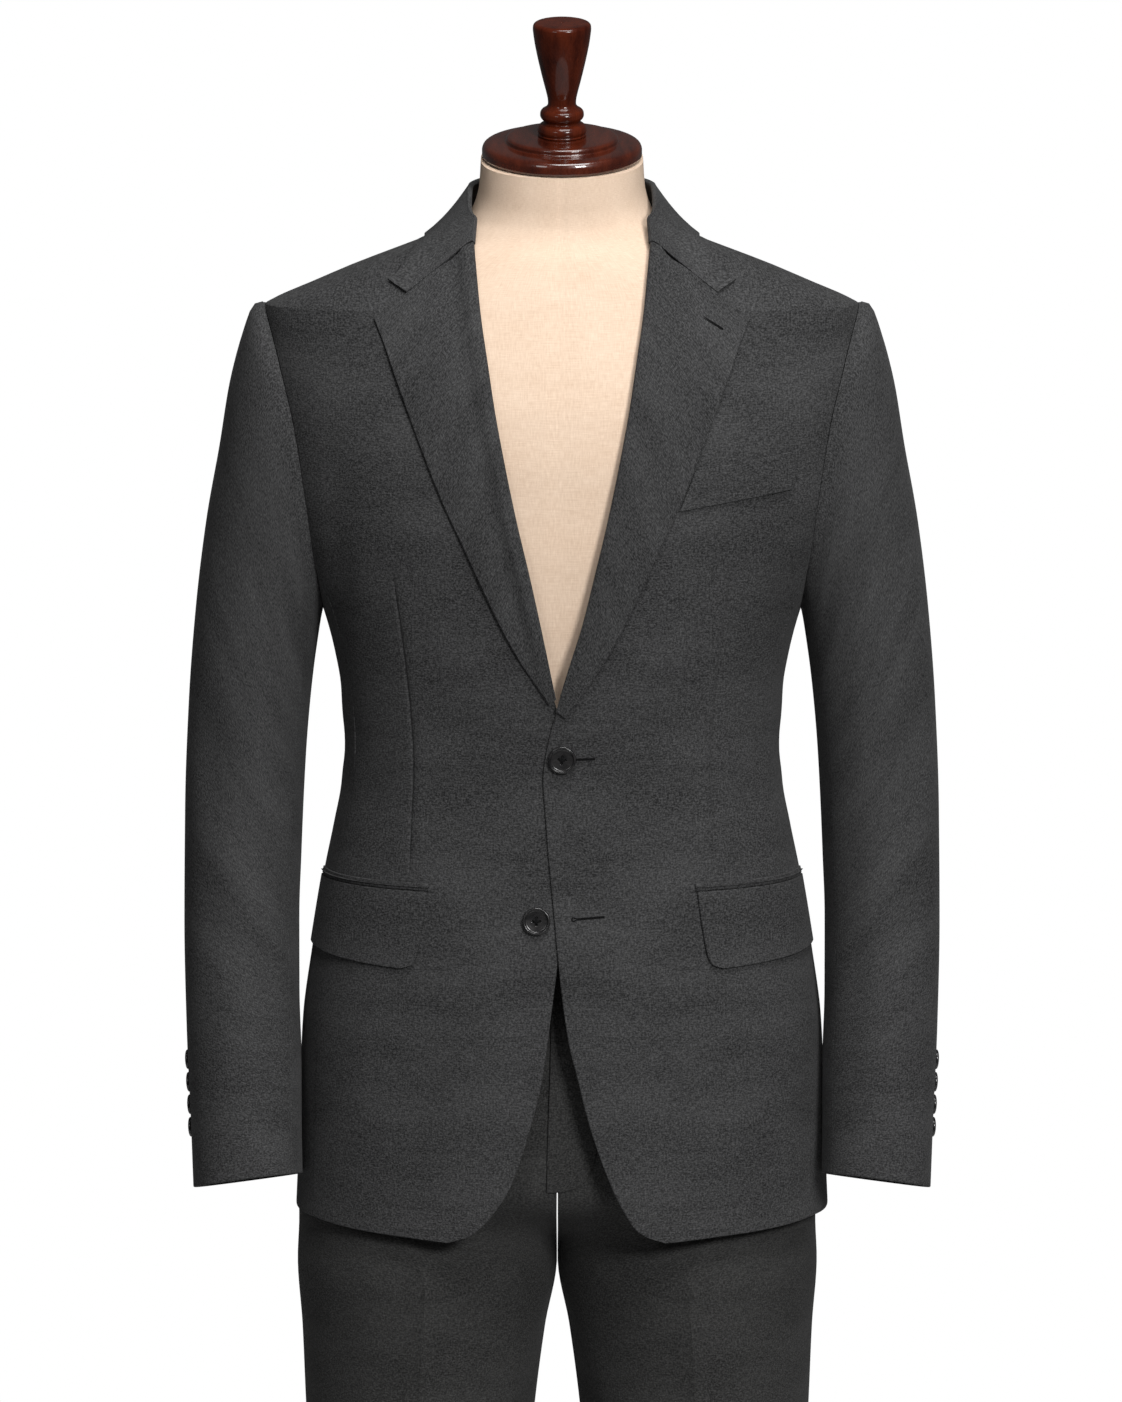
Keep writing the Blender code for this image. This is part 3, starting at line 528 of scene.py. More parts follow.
class Wire:
    """A socket's value in a shader. Sums, differences, products and quotients add Math nodes."""

    def __init__(self, shade: "Shade", socket: bpy.types.NodeSocket) -> None:
        """Wraps an output socket of the shade's node tree."""
        self.shade = shade
        self.socket = socket

    def math(self, operation: str, first: "Wire | float", second: "Wire | float" = 0.0) -> "Wire":
        """Adds one Math node."""
        return self.shade.node("ShaderNodeMath", {"operation": operation}, {0: first, 1: second})

    def __add__(self, other: "Wire | float") -> "Wire":
        """This plus another."""
        return self.math("ADD", self, other)

    def __radd__(self, other: float) -> "Wire":
        """A number plus this."""
        return self.math("ADD", other, self)

    def __sub__(self, other: "Wire | float") -> "Wire":
        """This less another."""
        return self.math("SUBTRACT", self, other)

    def __rsub__(self, other: float) -> "Wire":
        """A number less this."""
        return self.math("SUBTRACT", other, self)

    def __mul__(self, other: "Wire | float") -> "Wire":
        """This times another."""
        return self.math("MULTIPLY", self, other)

    def __rmul__(self, other: float) -> "Wire":
        """A number times this."""
        return self.math("MULTIPLY", other, self)

    def __truediv__(self, other: "Wire | float") -> "Wire":
        """This over another."""
        return self.math("DIVIDE", self, other)

    def __rtruediv__(self, other: float) -> "Wire":
        """A number over this."""
        return self.math("DIVIDE", other, self)

    def sin(self) -> "Wire":
        """Its sine."""
        return self.math("SINE", self)

    def clamped(self) -> "Wire":
        """Held from 0 to 1."""
        return self.math("MINIMUM", self.math("MAXIMUM", self, 0.0), 1.0)


class Shade:
    """The node tree of a material or of the world."""

    def __init__(self, data: bpy.types.Material | bpy.types.World) -> None:
        """Empties the tree."""
        data.use_nodes = True
        self.data = data
        self.tree = data.node_tree
        self.tree.nodes.clear()

    @classmethod
    def new(cls, name: str) -> "Shade":
        """The empty tree of a new material."""
        return cls(bpy.data.materials.new(name))

    def node(
        self, kind: str, settings: dict | None = None, values: dict | None = None, output: int | str = 0,
    ) -> Wire:
        """Adds a node.

        Args:
            kind: the node's type.
            settings: its own settings, set first.
            values: a number, colour or wire for each named or numbered input.
            output: which of its outputs is wanted.

        Returns:
            The output, as a wire.
        """
        made = self.tree.nodes.new(kind)
        for key, value in (settings or {}).items():
            setattr(made, key, value)
        for key, value in (values or {}).items():
            if isinstance(value, Wire):
                self.tree.links.new(value.socket, made.inputs[key])
            else:
                made.inputs[key].default_value = value
        return Wire(self, made.outputs[output])

    def cut_places(self) -> Wire:
        """Where a point lies in the flat cloth, in metres."""
        return self.node("ShaderNodeTexCoord", output="UV")

    def object_places(self) -> Wire:
        """Where a point lies in the piece, in metres."""
        return self.node("ShaderNodeTexCoord", output="Object")

    def scaled(self, places: Wire, scale: tuple[float, float, float]) -> Wire:
        """Places stretched along each axis."""
        return self.node("ShaderNodeVectorMath", {"operation": "MULTIPLY"}, {0: places, 1: scale})

    def noise(self, places: Wire, scale: tuple[float, float, float], detail: float = 2.0) -> Wire:
        """Soft noise, its grain set by a scale along each axis."""
        values = {"Vector": self.scaled(places, scale), "Scale": 1.0, "Detail": detail, "Roughness": 0.6}
        return self.node("ShaderNodeTexNoise", {"noise_dimensions": "3D"}, values)

    def split(self, places: Wire) -> tuple[Wire, Wire, Wire]:
        """The three numbers of a place."""
        parts = [self.node("ShaderNodeSeparateXYZ", None, {0: places}, axis) for axis in range(3)]
        return parts[0], parts[1], parts[2]

    def mixed(self, share: Wire, first: Colour, second: Colour) -> Wire:
        """Two colours mixed."""
        values = {0: share, MIX_FIRST: (*first, 1.0), MIX_SECOND: (*second, 1.0)}
        return self.node("ShaderNodeMix", {"data_type": "RGBA"}, values, MIX_COLOUR)

    def contrast(self, value: Wire, low: float, high: float) -> Wire:
        """A value spread so that low becomes 0 and high becomes 1."""
        return ((value - low) / (high - low)).clamped()

    def finish(
        self, colour: Wire, relief: Wire | None, depth: float, sockets: dict[str, float | Wire],
    ) -> bpy.types.Material:
        """Ends the tree in a Principled shader.

        Args:
            colour: the base colour.
            relief: heights from 0 to 1 for a bump, or None for a smooth face.
            depth: how deep a height of 1 is, in metres.
            sockets: numbers or wires for the shader's other sockets.

        Returns:
            The material.
        """
        values = {"Base Color": colour, **sockets}
        if relief is not None:
            bump = {"Height": relief, "Distance": depth, "Strength": 1.0}
            values["Normal"] = self.node("ShaderNodeBump", None, bump)
        self.end("ShaderNodeOutputMaterial", self.node("ShaderNodeBsdfPrincipled", None, values))
        return self.data

    def end(self, kind: str, surface: Wire) -> None:
        """Joins the surface to an output node."""
        output = self.tree.nodes.new(kind)
        self.tree.links.new(surface.socket, output.inputs["Surface"])


@dataclass(frozen=True)
class Worsted:
    """A fine melange suiting: dyed and paler fibres twisted together, woven in a close twill."""

    name: str
    dark: Colour
    pale: Colour
    fleck: float = 0.0011
    streak: float = 0.0036
    twill: float = 0.0007

    def material(self) -> bpy.types.Material:
        """Makes the cloth's material."""
        shade = Shade.new(self.name)
        places = shade.cut_places()
        warp = shade.noise(places, (1 / self.fleck, 1 / self.streak, 1.0))
        weft = shade.noise(places, (1 / self.streak, 1 / self.fleck, 1.0))
        flecks = shade.noise(places, (0.7 / self.fleck, 0.9 / self.fleck, 1.0), 3.0)
        cloud = shade.noise(places, (110.0, 210.0, 1.0), 4.0)
        shadow = shade.noise(places, (9.0, 22.0, 1.0), 3.0)
        melange = shade.contrast(warp * 0.25 + weft * 0.25 + flecks * 0.5, 0.44, 0.60)
        share = melange * 0.7 + shade.contrast(cloud, 0.36, 0.64) * 0.12
        share = share + shade.contrast(shadow, 0.36, 0.64) * 0.18
        colour = shade.mixed(share.clamped(), self.dark, self.pale)
        u, v, _ = shade.split(places)
        rib = ((u + v) * (2 * math.pi / self.twill)).sin() * 0.5 + 0.5
        relief = rib * 0.4 + melange * 0.6
        roughness = melange * 0.08 + 0.82
        sockets = {
            "Roughness": roughness, "Specular IOR Level": 0.14, "Sheen Weight": 0.04, "Sheen Roughness": 0.5,
        }
        return shade.finish(colour, relief, 0.00010, sockets)


@dataclass(frozen=True)
class Horn:
    """Polished dark horn, faintly streaked."""

    name: str = "polished_horn"
    dark: Colour = (0.008, 0.008, 0.0085)
    pale: Colour = (0.026, 0.025, 0.025)

    def material(self) -> bpy.types.Material:
        """Makes the buttons' material."""
        shade = Shade.new(self.name)
        places = shade.object_places()
        streaks = shade.noise(places, (160.0, 500.0, 300.0), 4.0)
        scuffs = shade.noise(places, (1400.0, 1400.0, 1400.0), 3.0)
        colour = shade.mixed(shade.contrast(streaks, 0.35, 0.7), self.dark, self.pale)
        roughness = scuffs * 0.10 + 0.17
        return shade.finish(colour, scuffs, 0.00001, {"Roughness": roughness, "Specular IOR Level": 0.5})


@dataclass(frozen=True)
class Thread:
    """Twisted sewing silk, its own dark tone pushed to nearly black as painted shade for the buttonholes'
    slits.
    """

    name: str
    # Nearly black: partly the silk's own dark colour, partly painted shade standing in for the dark inside
    # the buttonhole slits.
    dark: Colour = (0.0012, 0.0012, 0.0013)
    pale: Colour = (0.0055, 0.0055, 0.0058)

    def material(self) -> bpy.types.Material:
        """Makes the thread's material."""
        shade = Shade.new(self.name)
        twist = shade.noise(shade.object_places(), (4200.0, 4200.0, 4200.0), 2.0)
        colour = shade.mixed(shade.contrast(twist, 0.35, 0.65), self.dark, self.pale)
        return shade.finish(colour, twist, 0.00008, {"Roughness": 0.8, "Specular IOR Level": 0.12})


@dataclass(frozen=True)
class Linen:
    """The form's closely woven cream cover."""

    name: str = "cream_linen"
    dark: Colour = (0.61, 0.44, 0.315)
    pale: Colour = (0.78, 0.62, 0.485)
    thread: float = 0.0006

    def material(self) -> bpy.types.Material:
        """Makes the cover's material."""
        shade = Shade.new(self.name)
        places = shade.cut_places()
        u, v, _ = shade.split(places)
        slub_u = shade.noise(places, (1 / self.thread, 140.0, 1.0))
        slub_v = shade.noise(places, (140.0, 1 / self.thread, 1.0))
        weave = (u * (2 * math.pi / self.thread)).sin() * (v * (2 * math.pi / self.thread)).sin()
        mottle = shade.noise(places, (26.0, 34.0, 1.0), 4.0)
        share = shade.contrast(slub_u * 0.4 + slub_v * 0.4 + mottle * 0.2, 0.34, 0.66)
        colour = shade.mixed(share, self.dark, self.pale)
        relief = weave * 0.25 + slub_u * 0.4 + slub_v * 0.4
        return shade.finish(colour, relief, 0.00012, {"Roughness": 0.78, "Specular IOR Level": 0.3})


@dataclass(frozen=True)
class Mahogany:
    """Turned mahogany under a clear polish, its grain along one axis."""

    name: str
    grain: tuple[float, float, float]
    shine: float
    dark: Colour = (0.024, 0.0034, 0.0016)
    pale: Colour = (0.092, 0.0150, 0.0046)

    def material(self) -> bpy.types.Material:
        """Makes the wood's material."""
        shade = Shade.new(self.name)
        places = shade.object_places()
        figure = shade.noise(places, self.grain, 5.0)
        pores = shade.noise(places, tuple(6.0 * g for g in self.grain), 2.0)
        share = shade.contrast(figure * 0.85 + pores * 0.15, 0.30, 0.74)
        colour = shade.mixed(share, self.dark, self.pale)
        roughness = shade.contrast(pores, 0.3, 0.7) * 0.10 + 0.22
        sockets = {
            "Roughness": roughness, "Specular IOR Level": 0.3 * self.shine,
            "Coat Weight": self.shine, "Coat Roughness": 0.05,
        }
        return shade.finish(colour, pores, 0.000005, sockets)


@dataclass(frozen=True)
class BrushedSteel:
    """Steel brushed round its own axis."""

    name: str
    brush: tuple[float, float, float]

    def material(self) -> bpy.types.Material:
        """Makes the metal's material."""
        shade = Shade.new(self.name)
        lines = shade.noise(shade.object_places(), self.brush, 3.0)
        smudge = shade.noise(shade.object_places(), (14.0, 14.0, 14.0), 3.0)
        colour = shade.mixed(shade.contrast(lines, 0.3, 0.7), (0.50, 0.50, 0.51), (0.66, 0.66, 0.66))
        roughness = lines * 0.12 + smudge * 0.10 + 0.20
        return shade.finish(colour, lines, 0.00001, {"Roughness": roughness, "Metallic": 1.0})


@dataclass(frozen=True)
class PaintedFloor:
    """A plain pale studio floor."""

    name: str = "pale_floor"

    def material(self) -> bpy.types.Material:
        """Makes the floor's material."""
        shade = Shade.new(self.name)
        mottle = shade.noise(shade.object_places(), (3.0, 3.0, 3.0), 3.0)
        colour = shade.mixed(mottle, (0.80, 0.80, 0.80), (0.84, 0.84, 0.84))
        return shade.finish(colour, None, 0.0, {"Roughness": 0.7})


# The suit

BODY = Rings((
    (0.860, 0.2040, 0.132, 0.146),
    (0.884, 0.2030, 0.132, 0.146),
    (0.950, 0.2005, 0.131, 0.145),
    (1.027, 0.1970, 0.128, 0.141),
    (1.082, 0.1895, 0.124, 0.135),
    (1.136, 0.1810, 0.118, 0.127),
    (1.175, 0.1730, 0.114, 0.119),
    (1.211, 0.1664, 0.112, 0.113),
    (1.245, 0.1650, 0.113, 0.111),
    (1.277, 0.1665, 0.116, 0.113),
    (1.309, 0.1718, 0.120, 0.117),
    (1.340, 0.1800, 0.123, 0.122),
    (1.365, 0.1900, 0.1245, 0.125),
    (1.400, 0.2035, 0.126, 0.128),
    (1.451, 0.2165, 0.124, 0.129),
    (1.488, 0.2215, 0.119, 0.127),
    (1.525, 0.2245, 0.109, 0.120),
    (1.557, 0.2240, 0.096, 0.109),
    (1.5702, 0.2224, 0.090, 0.104),
    (1.5708, 0.2213, 0.0898, 0.1038),
    (1.5722, 0.2186, 0.0893, 0.1033),
    (1.576, 0.2110, 0.088, 0.102),
    (1.5835, 0.1930, 0.085, 0.0995),
    (1.5993, 0.1558, 0.078, 0.094),
    (1.6113, 0.1241, 0.071, 0.090),
    (1.6203, 0.1017, 0.065, 0.087),
    (1.6376, 0.0795, 0.058, 0.082),
    (1.6506, 0.0727, 0.054, 0.079),
    (1.6620, 0.0690, 0.052, 0.077),
), roundness=2.4)
"""The jacket's outer face, without its overlap and creases."""
PELVIS = Rings((
    (0.800, 0.1953, 0.1110, 0.1270),
    (0.845, 0.1981, 0.1120, 0.1300),
    (0.881, 0.1986, 0.1120, 0.1300),
    (0.930, 0.1870, 0.1110, 0.1270),
    (0.980, 0.1755, 0.1090, 0.1200),
    (1.030, 0.1650, 0.1060, 0.1110),
    (1.083, 0.1562, 0.1012, 0.1027),
), roundness=2.4)
"""The trousers' outer face above the legs."""
TORSO = Rings((
    (0.925, 0.1500, 0.0930, 0.0980),
    (0.932, 0.1530, 0.0950, 0.1000),
    (0.980, 0.1575, 0.0975, 0.1050),
    (1.030, 0.1565, 0.0990, 0.1040),
    (1.083, 0.1535, 0.0985, 0.1000),
    (1.118, 0.1500, 0.0965, 0.0965),
    (1.160, 0.1470, 0.0960, 0.0950),
    (1.200, 0.1465, 0.0970, 0.0950),
    (1.245, 0.1490, 0.1000, 0.0970),
    (1.300, 0.1580, 0.1080, 0.1040),
    (1.350, 0.1680, 0.1145, 0.1110),
    (1.400, 0.1770, 0.1185, 0.1170),
    (1.450, 0.1840, 0.1190, 0.1205),
    (1.490, 0.1880, 0.1150, 0.1200),
    (1.525, 0.1900, 0.1055, 0.1145),
    (1.550, 0.1905, 0.0960, 0.1080),
    (1.565, 0.1900, 0.0895, 0.1030),
    (1.5745, 0.1890, 0.0855, 0.0990),
    (1.5815, 0.1850, 0.0825, 0.0965),
    (1.5890, 0.1690, 0.0790, 0.0935),
    (1.5970, 0.1550, 0.0750, 0.0910),
    (1.6090, 0.1235, 0.0680, 0.0870),
    (1.6175, 0.1020, 0.0620, 0.0840),
    (1.6260, 0.0840, 0.0580, 0.0790),
    (1.6370, 0.0700, 0.0555, 0.0715),
    (1.6480, 0.0645, 0.0550, 0.0665),
    (1.6580, 0.0622, 0.0555, 0.0635),
    (1.6786, 0.0608, 0.0562, 0.0610),
), roundness=2.4)
"""The dress form, before its neck is tilted."""

SEAM = 0.00003
"""How far a panel keeps off its seam line."""
UNDERARM, SHOULDER_END, NECKLINE = 1.340, 1.5702, 1.632
"""Heights where the armhole starts and ends and where the collar is sewn on."""
OVERLAP = 0.0022
"""How far the front on top stands off the one below it."""
OVERLAP_FULL, OVERLAP_END = 0.036, 0.085
"""Distances from the centre between which the overlap sinks to nothing."""
LAPEL_OUT = 0.0030
"""How far a lapel's face stands off the front."""


def overlap_lift(x: np.ndarray, side: Side) -> np.ndarray:
    """How far the front on top stands off the body's surface."""
    if side is Side.RIGHT:
        return np.zeros_like(x)
    return OVERLAP * smoothstep((OVERLAP_END - x) / (OVERLAP_END - OVERLAP_FULL))


def on_front(x: np.ndarray | float, z: np.ndarray | float, out: np.ndarray | float = 0.0) -> np.ndarray:
    """Points on the front of the jacket, moved out."""
    x, z = np.asarray(x, float), np.asarray(z, float)
    return BODY.point(BODY.front_angle(x, z), z, out)


def front_direction(x: float, z: float) -> np.ndarray:
    """The way out of the front there."""
    way = on_front(x, z, 0.001) - on_front(x, z)
    return way / np.linalg.norm(way)


def body_places(lines: list[np.ndarray], step: float) -> tuple[np.ndarray, np.ndarray]:
    """Angles and heights of a grid on the body, through lines of (angle, height)."""
    ends = [BODY.point(line[:, 0], line[:, 1]) for line in lines]
    widths = [np.linalg.norm(b - a, axis=1) for a, b in zip(ends, ends[1:])]
    places = between(lines, widths, step)
    return places[..., 0], places[..., 1]


def cut_on_body(angle: np.ndarray, z: np.ndarray) -> np.ndarray:
    """Where points on the body lie in the flat cloth: round from the front's centre, and up."""
    return np.stack([BODY.girth(angle, z), z], axis=-1)


SHOULDER_ROWS = SHOULDER_END + np.array([
    -0.0120, -0.0085, -0.0060, -0.0040, -0.0025, -0.0015, -0.0008, -0.0003,
    -0.00005, 0.0, 0.0006, 0.0014, 0.0026, 0.0042, 0.0065, 0.0095,
])
"""Heights of the closer rows where the armhole's top meets the shoulder seam."""
ROW_GAP = 0.001
"""The usual rows keep this far off the closer ones."""


@dataclass
class Armhole:
    """The armhole's oval on the body, between the underarm and the end of the shoulder."""

    front: float = math.radians(28.5)
    back: float = math.radians(31.0)
    gap: float = 0.0001
    middle: float = (UNDERARM + SHOULDER_END) / 2
    half: float = (SHOULDER_END - UNDERARM) / 2

    def angle(self, z: np.ndarray, widest: float) -> np.ndarray:
        """How far round from the side its edge lies at each height."""
        return widest * np.sqrt(np.maximum(1 - ((z - self.middle) / self.half) ** 2, 0.0))

    def point(self, turn: np.ndarray) -> np.ndarray:
        """Points of its edge: turn is 0 at the shoulder and 90 degrees in front."""
        widest = np.where(np.sin(turn) > 0, self.front, self.back)
        found = BODY.point(-widest * np.sin(turn), self.middle + self.half * np.cos(turn))
        found[..., 0] += self.gap
        return found


@dataclass
class JacketBody:
    """Fronts, side bodies and backs of the jacket, with their darts and creases.

    Seams are rows of height and degrees round from the side, edges and the roll line rows of
    distance from the centre and height, and the dart rows of height and distance. Creases lie at
    distances and heights, or at angles and heights on the side bodies.
    """

    cloth: bpy.types.Material
    armhole: Armhole = field(default_factory=Armhole)
    front_seam: Rows = ((0.860, -24.0), (1.130, -22.5), (1.373, -20.0))
    back_seam: Rows = ((0.860, 34.0), (1.245, 38.0), (1.383, 24.0))
    over_edge: Rows = (
        (0.0776, 0.8761), (0.0613, 0.8822), (0.0537, 0.8886), (0.0422, 0.9081),
        (0.0306, 0.9355), (0.0192, 0.9704), (0.0115, 1.0015), (0.0048, 1.0287),
        (-0.0015, 1.0749), (-0.0067, 1.1307), (-0.0097, 1.1616), (-0.0126, 1.1999),
        (-0.0141, 1.2239), (-0.0097, 1.2549), (-0.0022, 1.2819), (0.0037, 1.3019),
        (0.0157, 1.3412), (0.0254, 1.3804),
    )
    under_edge: Rows = (
        (0.0853, 0.8761), (0.0696, 0.8815), (0.0595, 0.8895), (0.0404, 0.9159),
        (0.0306, 0.9412), (0.0219, 0.9704), (0.0153, 0.9977), (0.0112, 1.0250),
        (0.0067, 1.0598), (-0.0030, 1.1307), (-0.0090, 1.1616), (-0.0120, 1.1999),
        (-0.0130, 1.2239), (-0.0080, 1.2549), (0.0048, 1.2800), (0.0085, 1.3019),
        (0.0165, 1.3412), (0.0254, 1.3804),
    )
    roll_line: Rows = (
        (0.0345, 1.4190), (0.0430, 1.4600), (0.0508, 1.5020), (0.0558, 1.5340),
        (0.0592, 1.5520), (0.0606, 1.5640), (0.0614, 1.5702), (0.0622, 1.5780),
        (0.0634, 1.5900), (0.0646, 1.6020), (0.0658, 1.6150), (0.0672, 1.6240),
        (0.0685, 1.632),
    )
    hem: float = 0.884
    side_width: float = 0.12
    level: float = 1.13
    hem_drop: float = 0.008
    step: float = 0.0062
    dart: Rows = (
        (0.8700, 0.1180), (1.0800, 0.1165), (1.1460, 0.1145), (1.1970, 0.1125),
        (1.2360, 0.1112), (1.2750, 0.1134), (1.3240, 0.1187), (1.3850, 0.1265),
        (1.4600, 0.1330), (1.5700, 0.1400), (1.6320, 0.1000),
    )
    dart_ends: tuple[float, float] = (1.150, 1.385)
    dart_fades: tuple[float, float] = (0.02, 0.03)
    dart_depth: float = 0.0011
    dart_width: float = 0.0009
    dart_puff: float = 0.0007
    edge_flat: float = 0.03
    front_creases: tuple[Crease, ...] = crease_table(
        (0.172, 1.330, 0.163, 1.470, 0.010, -0.0020),
        (0.148, 1.345, 0.158, 1.420, 0.009, 0.0011),
        (0.020, 1.243, 0.095, 1.262, 0.010, -0.0011),
        (0.018, 1.232, 0.100, 1.214, 0.011, -0.0012),
        (0.030, 1.205, 0.120, 1.172, 0.013, 0.0008),
        (0.135, 1.190, 0.160, 1.262, 0.012, -0.0011),
        (0.060, 1.060, 0.050, 0.925, 0.020, 0.0013),
        (0.105, 1.065, 0.112, 0.900, 0.018, -0.0016),
        (0.150, 1.075, 0.158, 0.900, 0.016, 0.0014),
        (0.100, 1.500, 0.185, 1.545, 0.014, -0.0009),
        (0.120, 1.545, 0.205, 1.560, 0.012, 0.0007),
    )
    side_creases: tuple[Crease, ...] = crease_table(
        (-0.30, 1.232, 0.55, 1.222, 0.012, -0.0012),
        (-0.25, 1.258, 0.50, 1.268, 0.012, 0.0008),
        (0.12, 1.060, 0.18, 0.900, 0.10, 0.0014),
        (-0.10, 1.075, -0.14, 0.900, 0.09, -0.0012),
    )
    back_creases: tuple[Crease, ...] = crease_table(
        (0.165, 1.330, 0.150, 1.500, 0.013, -0.0026),
        (0.140, 1.360, 0.128, 1.490, 0.012, 0.0014),
        (0.012, 1.245, 0.120, 1.232, 0.013, -0.0014),
        (0.015, 1.272, 0.110, 1.282, 0.013, 0.0010),
        (0.020, 1.560, 0.120, 1.572, 0.014, -0.0012),
        (0.050, 1.100, 0.062, 0.900, 0.022, 0.0017),
        (0.100, 1.110, 0.108, 0.900, 0.020, -0.0016),
        (0.018, 1.080, 0.016, 0.900, 0.016, -0.0012),
    )

    def outer_angle(self, z: np.ndarray, front: bool) -> np.ndarray:
        """Where a front or back ends: at its side seam, then the armhole, then the shoulder seam."""
        size = BODY.curve(z)
        seam = self.front_seam if front else self.back_seam
        widest = self.armhole.front if front else self.armhole.back
        depth = size[..., 1] if front else size[..., 2]
        shoulder = np.arcsin((SEAM / depth) ** (BODY.roundness / 2))
        side = np.abs(np.radians(Curve(seam)(z)[..., 0])) + SEAM / size[..., 0]
        found = np.where(z >= SHOULDER_END, shoulder, self.armhole.angle(z, widest))
        found = np.where(z <= seam[-1][0], side, found)
        return -found if front else found

    def edge_places(self, points: Rows) -> np.ndarray:
        """Places (x, z) along an edge, close together at its two ends."""
        line = outline(points)(np.linspace(0, 1, 1200))
        long = along_line(line)
        at = graded(float(long[-1]), self.step)
        upper = line[:, 1] > SHOULDER_ROWS[0] - 0.05
        close = np.interp(SHOULDER_ROWS, line[upper, 1], long[upper])
        at = np.concatenate([at[at < close[0] - ROW_GAP], close, at[at > close[-1] + ROW_GAP]])
        return np.stack([np.interp(at, long, line[:, 0]), np.interp(at, long, line[:, 1])], axis=1)

    def dart_relief(self, x: np.ndarray, z: np.ndarray) -> np.ndarray:
        """The sewn waist dart: a narrow groove with the cloth a little fuller before it."""
        gap = x - Curve(self.dart)(z)[..., 0]
        (low, high), (rise, fall) = self.dart_ends, self.dart_fades
        share = smoothstep((z - low) / rise) * smoothstep((high - z) / fall)
        groove = self.dart_depth * share * bell(gap, self.dart_width)
        return self.dart_puff * share * bell(gap + 0.006, 0.005) - groove

    def front(self, side: Side) -> None:
        """One front: the left one lies on top, with the darts of both sewn in."""
        points = (self.over_edge if side is Side.LEFT else self.under_edge) + self.roll_line
        edge = self.edge_places(points)
        x, z = edge[:, 0], edge[:, 1]
        fall = np.maximum(self.level - z, 0.0) / (self.level - points[0][1])
        outer_z = z + self.hem_drop * fall
        left = np.stack([BODY.front_angle(x, z), z], axis=1)
        right = np.stack([self.outer_angle(outer_z, True), outer_z], axis=1)
        dart_x = Curve(self.dart)(z)[:, 0]
        outer_x = BODY.point(right[:, 0], outer_z)[:, 0]
        share = np.clip((dart_x - x) / np.maximum(outer_x - x, 1e-4), 0.30, 0.80)
        dart_z = z + (outer_z - z) * share
        whole = right[:, 0] - left[:, 0]
        low, high = left[:, 0] + 0.2 * whole, left[:, 0] + 0.85 * whole
        middle = np.stack([np.clip(BODY.front_angle(dart_x, dart_z), low, high), dart_z], axis=1)
        angle, height = body_places([left, middle, right], self.step)
        across = BODY.point(angle, height)[..., 0]
        grid = BODY.point(angle, height, overlap_lift(across, side))
        relief = creased(self.front_creases, across, height) + self.dart_relief(across, height)
        relief = relief * smoothstep((across - x[:, None] + 0.004) / self.edge_flat)
        cut = Cut(rolls=(0.0008, 0.0005, 0.0008, 0.0003))
        name = f"front_{side.label}"
        panel = Panel(name, grid, cut, relief, cut_on_body(angle, height), side)
        panel.make(self.cloth, "worsted", ["form_torso"])

    def side_body(self, side: Side) -> None:
        """The narrow panel under the arm."""
        t = graded(self.side_width, self.step) / self.side_width
        top = np.full(t.shape, UNDERARM)
        for _ in range(12):
            start = np.radians(Curve(self.front_seam)(top)[..., 0])
            end = np.radians(Curve(self.back_seam)(top)[..., 0])
            angle = start + (end - start) * t
            widest = np.where(angle < 0, self.armhole.front, self.armhole.back)
            drop = np.sqrt(np.maximum(1 - (angle / widest) ** 2, 0.0))
            top = self.armhole.middle - self.armhole.half * drop
        rows = graded(UNDERARM - self.hem, self.step) / (UNDERARM - self.hem)
        z = self.hem + (top[None, :] - SEAM - self.hem) * rows[:, None]
        gap = SEAM / BODY.curve(z)[..., 0]
        start = np.radians(Curve(self.front_seam)(z)[..., 0]) + gap
        end = np.radians(Curve(self.back_seam)(z)[..., 0]) - gap
        angle = start + (end - start) * t[None, :]
        relief = creased(self.side_creases, angle, z) * smoothstep(np.minimum(t, 1 - t)[None, :] / 0.2)
        name = f"side_{side.label}"
        cut = Cut(rolls=(0.0005, 0.0005, 0.0008, 0.0004))
        flat = cut_on_body(angle, z)
        panel = Panel(name, BODY.point(angle, z), cut, relief, flat, side)
        panel.make(self.cloth, "worsted", ["form_torso"])

    def back(self, side: Side) -> None:
        """One half of the back, up to the neckline."""
        z = self.hem + graded(NECKLINE - self.hem, self.step)
        low, high = SHOULDER_ROWS[0] - ROW_GAP, SHOULDER_ROWS[-1] + ROW_GAP
        z = np.concatenate([z[z < low], SHOULDER_ROWS, z[z > high]])
        left = np.stack([self.outer_angle(z, False), z], axis=1)
        centre = np.arccos((SEAM / BODY.curve(z)[:, 0]) ** (BODY.roundness / 2))
        angle, height = body_places([left, np.stack([centre, z], axis=1)], self.step)
        grid = BODY.point(angle, height)
        relief = creased(self.back_creases, grid[..., 0], height)
        relief = relief * smoothstep(grid[..., 0] / 0.02)
        relief = relief * smoothstep((SHOULDER_END + 0.05 - height) / 0.06)
        name = f"back_{side.label}"
        cut = Cut(rolls=(0.0005, 0.0005, 0.0008, 0.0003))
        panel = Panel(name, grid, cut, relief, cut_on_body(-angle, height), side)
        panel.make(self.cloth, "worsted", ["form_torso"])

    def build(self) -> None:
        """Builds the six panels."""
        for side in Side:
            self.front(side)
            self.side_body(side)
            self.back(side)


